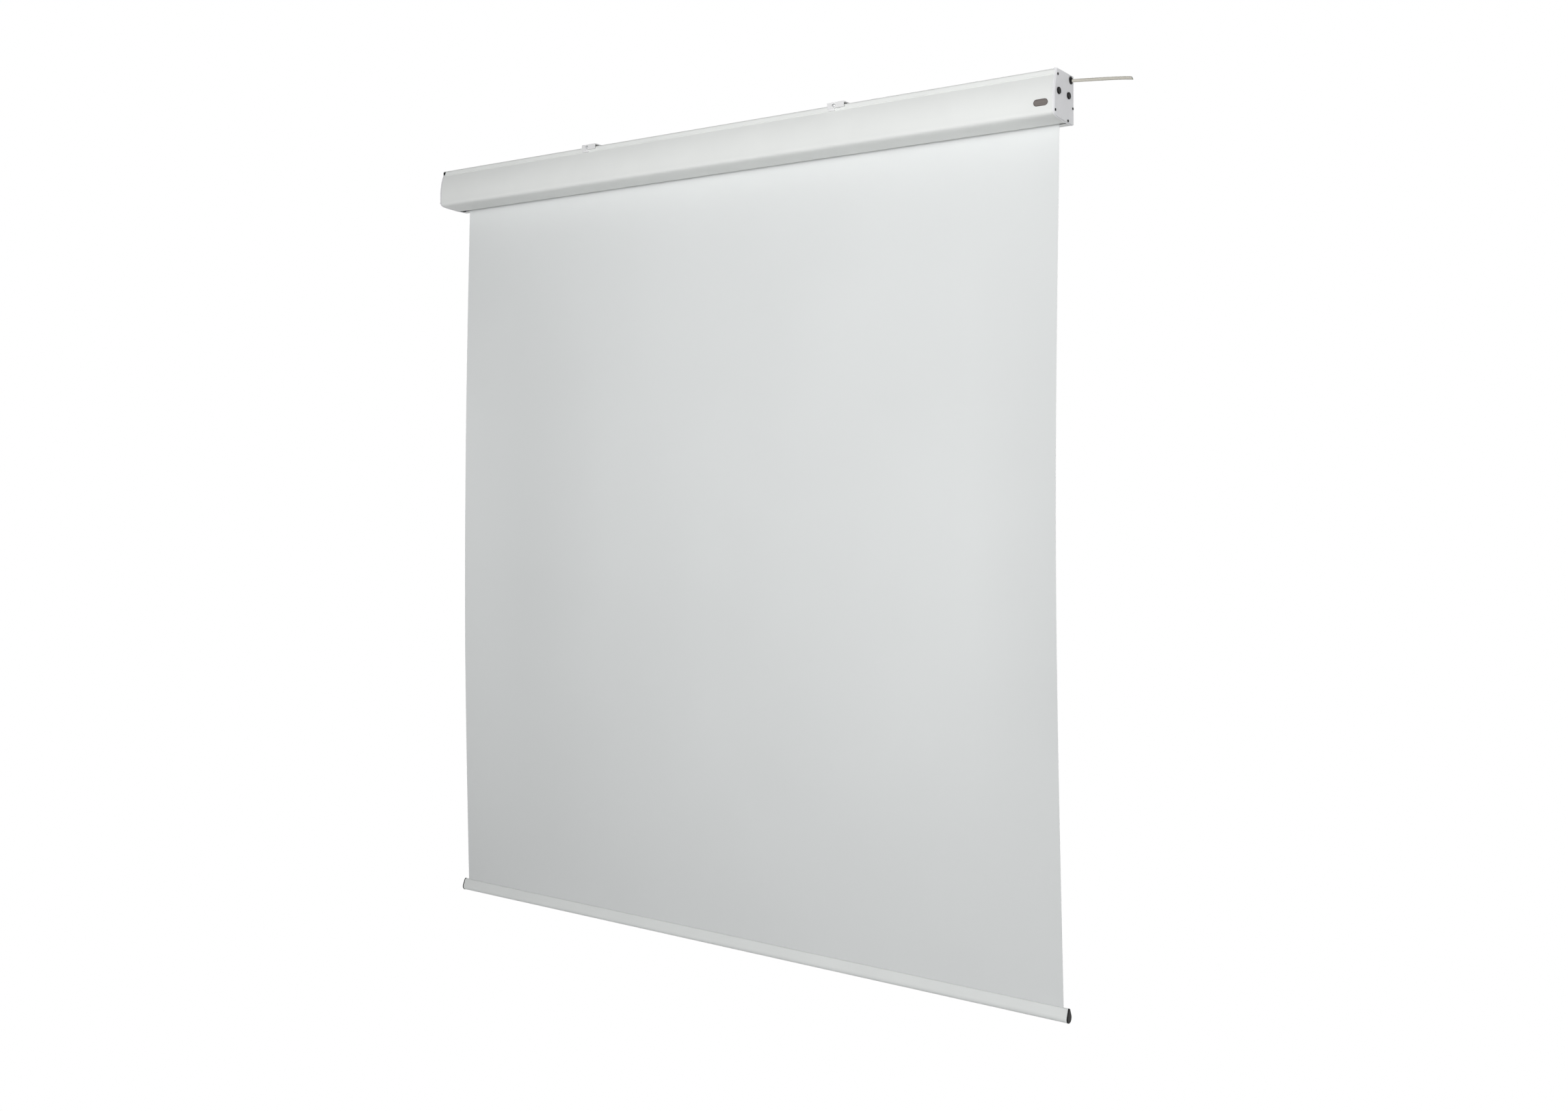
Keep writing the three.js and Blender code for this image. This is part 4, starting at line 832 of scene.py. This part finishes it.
def makeHanger(label):
    body, side = f"hanger_{label}", label.capitalize()
    hook = roundEdges(mergedCopy(f"{body}_hook", f"hangerHook{side}"), hangerHookEdge, 3)
    dressed(hook, hangerWhite, f"{body}_hook", body=body)

    # The screw is made about x with its head towards +x, then turned to face the front.
    low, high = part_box(f"{body}_screw")
    middleX, middleZ = middleOf(f"{body}_screw", 0, 2)
    face = low[1] + hangerScrew["height"]
    made = panScrew(f"hangerScrew{side}", hangerScrew, 0.0, 1, (0.0, 0.0), face - high[1])
    x, y, z = vertexPlaces(made).T
    made.data.vertices.foreach_set("co", np.column_stack([middleX + y, face - x, middleZ + z]).ravel())
    made.data.update()
    dressed(made, zincSteel, f"{body}_screw", 30, body)


makeHanger("left")
makeHanger("right")
print("badge, stop and hangers made")

# The roller's cloth and the sheet
cloth = {"thickness": 0.00045, "columns": 150, "rows": 220, "crowding": 0.25, "curlRight": 0.0235,
         "curlLeft": 0.014, "curlWidth": 0.190, "taperRight": 0.0022, "taperLeft": 0.0076,
         "taperEnd": 0.65, "ripple": 0.0005, "wave": 9.0, "wavePhase": 1.3, "fineWave": 21.0,
         "fineShare": 0.6, "finePhase": 2.1}
roll = {"turns": 4, "stepsPerTurn": 72, "depth": 0.0018, "outside": 0.0003, "strip": 0.0003}
hem = {"clear": 0.0005, "neck": 0.00024, "strip": 0.0004, "steps": 60}
fabricLow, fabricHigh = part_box("projection_fabric")
sheetY, = middleOf("fabric_hem", 1)
sheetTop, sheetBottom = fabricHigh[2], fabricLow[2]
halfWidth = rollHigh[0]


def clothForm(flatX, z):
    # At share t of the way from the case's underside to the bar, and at distance d from an edge, the
    # curl is reach sin(pi t) (1 - d / curlWidth)^2, and the edge draws in by what the curl takes up.
    # A slow ripple from side to side, strongest half-way down, is added to it. Above taperEnd, the outer
    # stretch is drawn in further by taper (1 - t / taperEnd) near^2, less so inside the case.
    c = cloth
    rightHalf = flatX > 0
    t = np.clip((caseBottom - z) / (caseBottom - barTop), 0, 1)
    reach = np.where(rightHalf, c["curlRight"], c["curlLeft"])
    near = np.clip(1 - (halfWidth - np.abs(flatX)) / c["curlWidth"], 0, None)
    rise = np.sin(math.pi * t)
    drawnIn = (reach * rise) ** 2 * near ** 3 / (1.5 * c["curlWidth"])
    waves = np.sin(c["wave"] * flatX + c["wavePhase"]) \
        + c["fineShare"] * np.sin(c["fineWave"] * flatX + c["finePhase"] * t)
    taper = np.where(rightHalf, c["taperRight"], c["taperLeft"]) * np.clip(1 - t / c["taperEnd"], 0, 1)
    outOfCase = np.clip((sheetTop - z) / (sheetTop - caseBottom), 0, 1)
    drawnIn = drawnIn + taper * near ** 2 * outOfCase
    return flatX - np.sign(flatX) * drawnIn, sheetY - reach * rise * near ** 2 + c["ripple"] * rise * waves


def setClothUv(obj, places):
    # Each vertex has its place on the flat cloth, in metres, and each face corner takes its vertex's.
    uv = obj.data.uv_layers.new(name="clothUv")
    corner = np.empty(len(obj.data.loops), int)
    obj.data.loops.foreach_get("vertex_index", corner)
    uv.data.foreach_set("uv", places[corner].ravel())


def clothStrip(name, path, thickness, xs, node, body):
    # A bent strip of cloth. On its UV map, x goes across the strip and the length of the path, there
    # and back, along it.
    piece = sectionPiece(name, stripOutline(path, thickness), xs)
    length = lengthsAlong(path)
    around = np.concatenate([length, length[::-1]])
    setClothUv(piece, np.column_stack([vertexPlaces(piece)[:, 0], np.tile(around, len(xs))]))
    dressed(piece, clothWhite, node, 60, body)


def makeRoll():
    # The turns left on the roller: a spiral strip whose radius grows evenly with its angle and ends
    # at the back of the roller, where the sheet hangs off it.
    wound = 2 * math.pi * roll["turns"]
    angle = np.linspace(-wound, 0, roll["stepsPerTurn"] * roll["turns"])
    first, last = rollRadius - roll["depth"], rollRadius - roll["outside"]
    radius = first + (last - first) * (1 + angle / wound)
    path = np.column_stack([radius * np.cos(angle), radius * np.sin(angle)])
    path += (rollerY - caseBack, rollerZ - caseBottom)
    clothStrip("clothRoll", path, roll["strip"], (-halfWidth, halfWidth), "wound_fabric", "roller")


def makeHem():
    # The hem goes down beside the neck's middle, round the rod and back up on the other side.
    rodLow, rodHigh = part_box("hem_rod")
    hemLow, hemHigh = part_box("fabric_hem")
    rodZ, = middleOf("hem_rod", 2)
    radius, neck = (rodHigh[2] - rodLow[2]) / 2 + hem["clear"], hem["neck"]
    start = math.degrees(math.asin(neck / radius))
    around = arcPoints((sheetY, rodZ), radius, 90 + start, 450 - start, hem["steps"])
    path = np.concatenate([[(sheetY - neck, hemHigh[2])], around, [(sheetY + neck, hemHigh[2])]])
    path -= (caseBack, caseBottom)
    clothStrip("clothHem", path, hem["strip"], (hemLow[0], hemHigh[0]), "fabric_hem", "bottom_bar")


def makeSheet():
    # A grid of front points and one of back points, closer together towards the sides at
    # (1 + crowding) s - crowding s^3 of the half width, joined all round by an edge.
    share = np.linspace(-1, 1, cloth["columns"])
    flatX = halfWidth * ((1 + cloth["crowding"]) * share - cloth["crowding"] * share ** 3)
    flat, height = np.meshgrid(flatX, np.linspace(sheetTop, sheetBottom, cloth["rows"]))
    x, y = clothForm(flat, height)
    half = cloth["thickness"] / 2
    front = np.stack([x, y - half, height], axis=-1)
    back = np.stack([x, y + half, height], axis=-1)
    rows, columns = flat.shape
    layer = rows * columns
    quads = np.array(gridFaces(rows, columns, wrap=False))
    faces = [tuple(q) for q in quads] + [tuple(q[::-1] + layer) for q in quads]
    edge = np.concatenate([np.arange(columns), np.arange(1, rows) * columns + columns - 1,
                           layer - 2 - np.arange(columns - 1), (np.arange(rows - 2, 0, -1)) * columns])
    faces += [(a, a + layer, b + layer, b) for a, b in zip(edge, np.roll(edge, -1))]
    sheet = meshPiece("projectionSheet", np.concatenate([front.reshape(-1, 3), back.reshape(-1, 3)]), faces)
    setClothUv(sheet, np.column_stack([np.tile(flat.ravel(), 2), np.tile(height.ravel(), 2)]))
    dressed(sheet, clothWhite, "projection_fabric", 50)
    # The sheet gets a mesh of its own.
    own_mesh(sheet)


makeRoll()
makeHem()
makeSheet()
print("cloth made")

# The bottom bar
bar = {"topRadius": 0.0037, "bottomRadius": 0.0095, "wall": 0.0013, "slot": 0.0024, "steps": 20,
       "raised": 0.0002, "edge": 0.0002, "capEdge": 0.0006, "capTongue": 0.0053}
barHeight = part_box("bar_cap_right")[1][2] - barLow[2]


def dropOutline(inset, openTop):
    # Two circles joined by their tangents, which lean by asin((R - r) / distance). With openTop,
    # the outline starts and ends at the slot's edges.
    big, small = bar["bottomRadius"], bar["topRadius"]
    top, bottom = -small, big - barHeight
    lean = math.degrees(math.asin((big - small) / (top - bottom)))

    def topArc(start, end):
        return arcPoints((0, top), small - inset, start, end, bar["steps"])

    below = arcPoints((0, bottom), big - inset, 180 - lean, 360 + lean, bar["steps"] * 4)
    if not openTop:
        return np.concatenate([topArc(lean, 180 - lean), below])
    mouth = 90.0 - math.degrees(math.asin(bar["slot"] / 2 / (small - inset)))
    return np.concatenate([topArc(180 - mouth, 180 - lean), below, topArc(lean, mouth)])


def barSection(name, outline, xs):
    return sectionPiece(name, outline + (barY - caseBack, barTop + bar["raised"] - caseBottom), xs)


def makeBar():
    # The tube lies between the drop's outline and the same one a wall further in. Each cap is the full
    # drop from its tongue's root to its outer face.
    outer, inner = dropOutline(0, True), dropOutline(bar["wall"], True)
    tube = barSection("bottomBar", np.concatenate([outer, inner[::-1]]), (barLow[0], barHigh[0]))
    dressed(roundEdges(tube, bar["edge"]), barGrey, "bar_tube", 30, "bottom_bar")
    for side, label in ((-1, "left"), (1, "right")):
        low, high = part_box(f"bar_cap_{label}")
        face = low[0] + bar["capTongue"] if side > 0 else high[0] - bar["capTongue"]
        outside = high[0] if side > 0 else low[0]
        cap = barSection(f"barCap{label.capitalize()}", dropOutline(0, False), sorted((face, outside)))
        roundEdges(cap, bar["capEdge"], 3)
        dressed(cap, blackPlastic, f"bar_cap_{label}", body="bottom_bar")


makeBar()
print("bottom bar made")

# Frame pieces that keep their own shape get their finish here, by how their names begin. Where two
# lines fit a name, the later one holds.
keptLooks = (
    (leadGrey, ("lead_inside",)),
    (greyPlastic, ("cable_gland_nut", "motor_head", "motor_capacitor", "limit_switch_unit", "crown_ring",
                   "drive_wheel", "idler_plug")),
    (blackPlastic, ("idler_bush",)),
    (zincSteel, ("motor_bracket", "idler_bracket", "motor_head_screw", "limit_screw", "drive_wheel_",
                 "hanger_left_nut", "hanger_right_nut")),
    (tubeSteel, ("output_shaft", "roller_tube", "idler_pin", "hem_rod")),
    (motorPaint, ("motor_casing", "motor_brake")),
    (cartridgeMetal, ("gearmotor",)),
)
for look, starts in keptLooks:
    for node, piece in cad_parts.items():
        if node.startswith(starts):
            piece.data.materials.clear()
            piece.data.materials.append(look)

# Studio. The world's levels go by height: 0 straight below, 0.5 level and 1 straight above.
studio = {"floorZ": -3.2, "floorX": (-2.2, 2.2), "floorY": (-2.5, 0.8), "floorGreys": (230, 232, 234),
          "floorRoughness": 0.7, "floorClouds": 2, "floorGlow": 0.45,
          "below": 0.22, "above": 0.03, "between": ((0.42, 0.28), (0.5, 0.45), (0.56, 0.26), (0.7, 0.06)),
          "tint": (0.97, 0.985, 1.0), "behind": 2.6}
lamps = {
    "key": {"size": 2.4, "power": 48.5, "spread": 110, "place": (1.4, -3.8, -0.45), "aim": (0.2, 0.0, -0.3)},
    "side": {"size": 1.6, "power": 26, "spread": 180, "place": (3.6, -0.25, -0.2), "aim": (0.8, 0.0, -0.1)},
    "rear": {"size": 2.0, "power": 20, "spread": 110, "place": (-0.6, 3.0, 2.2), "aim": (0.0, 0.0, -0.3)},
}


def makeFloor():
    # The camera alone sees the floor lightened by a share of white, as it does the background.
    (x0, x1), (y0, y1), z = studio["floorX"], studio["floorY"], studio["floorZ"]
    mesh = bpy.data.meshes.new("studioFloor")
    mesh.from_pydata([(x0, y0, z), (x1, y0, z), (x1, y1, z), (x0, y1, z)], [], [(0, 1, 2, 3)])
    dark, grey, light = map(greyOf, studio["floorGreys"])
    pale = material("paleStudioFloor", grey, studio["floorRoughness"])
    mottle(pale, dark, light, studio["floorClouds"])
    rays = addNode(pale, "LightPath")
    glow = addNode(pale, "Math", operation="MULTIPLY")
    glow.inputs[1].default_value = studio["floorGlow"]
    shader = shaderOf(pale)
    shader.inputs["Emission Color"].default_value = (1, 1, 1, 1)
    joinNodes(pale, rays, "Is Camera Ray", glow, 0)
    joinNodes(pale, glow, 0, shader, "Emission Strength")
    mesh.materials.append(pale)
    newObject("studioFloor", mesh)


def makeLamp(name, spec):
    # A round lamp. Turned by acos(z / r) and then by atan2(y, x) + 90 degrees, it shines at its aim.
    lamp = newObject(name + "Light", bpy.data.lights.new(name + "Light", "AREA"))
    lamp.data.shape = "DISK"
    lamp.data.size = spec["size"]
    lamp.data.energy = spec["power"]
    lamp.data.spread = math.radians(spec["spread"])
    away = np.array(spec["place"]) - np.array(spec["aim"])
    lamp.location = spec["place"]
    lamp.rotation_euler = (math.acos(away[2] / np.linalg.norm(away)), 0,
                           math.atan2(away[1], away[0]) + math.pi / 2)


def makeWorld():
    # The light from all round goes by the direction's height, and grows towards the rear: strength
    # 1 + (behind - 1) y for a direction's part y above 0. Camera, glossy and clear rays see white.
    world = bpy.data.worlds.new("studioWorld")
    bpy.context.scene.world = world
    world.use_nodes = True
    world.node_tree.nodes.clear()
    where = addNode(world, "TexCoord")
    parts = addNode(world, "SeparateXYZ")
    height = addNode(world, "MapRange", **{"From Min": -1})
    rear = addNode(world, "MapRange", **{"To Min": 1, "To Max": studio["behind"]})
    ramp = addNode(world, "ValToRGB")
    stops = ramp.color_ramp.elements
    tint = np.array(studio["tint"])
    stops[0].color = (*(tint * studio["below"]), 1)
    stops[1].color = (*(tint * studio["above"]), 1)
    for place, level in studio["between"]:
        stops.new(place).color = (*(tint * level), 1)
    lit = addNode(world, "Background")
    white = addNode(world, "Background", Color=(1, 1, 1, 1), Strength=1.0)
    rays = addNode(world, "LightPath")
    seen = addNode(world, "Math", operation="MAXIMUM")
    seenToo = addNode(world, "Math", operation="MAXIMUM")
    mix = addNode(world, "MixShader")
    out = addNode(world, "OutputWorld")
    for link in ((where, "Generated", parts, "Vector"), (parts, "Z", height, "Value"),
                 (height, "Result", ramp, "Fac"), (ramp, "Color", lit, "Color"), (parts, "Y", rear, "Value"),
                 (rear, "Result", lit, "Strength"), (rays, "Is Camera Ray", seen, 0),
                 (rays, "Is Glossy Ray", seen, 1), (seen, 0, seenToo, 0),
                 (rays, "Is Transmission Ray", seenToo, 1), (seenToo, 0, mix, 0), (lit, 0, mix, 1),
                 (white, 0, mix, 2), (mix, 0, out, 0)):
        joinNodes(world, *link)


makeFloor()
for name, spec in lamps.items():
    makeLamp(name, spec)
makeWorld()
bpy.context.scene.view_settings.view_transform = "Standard"
print("studio made")
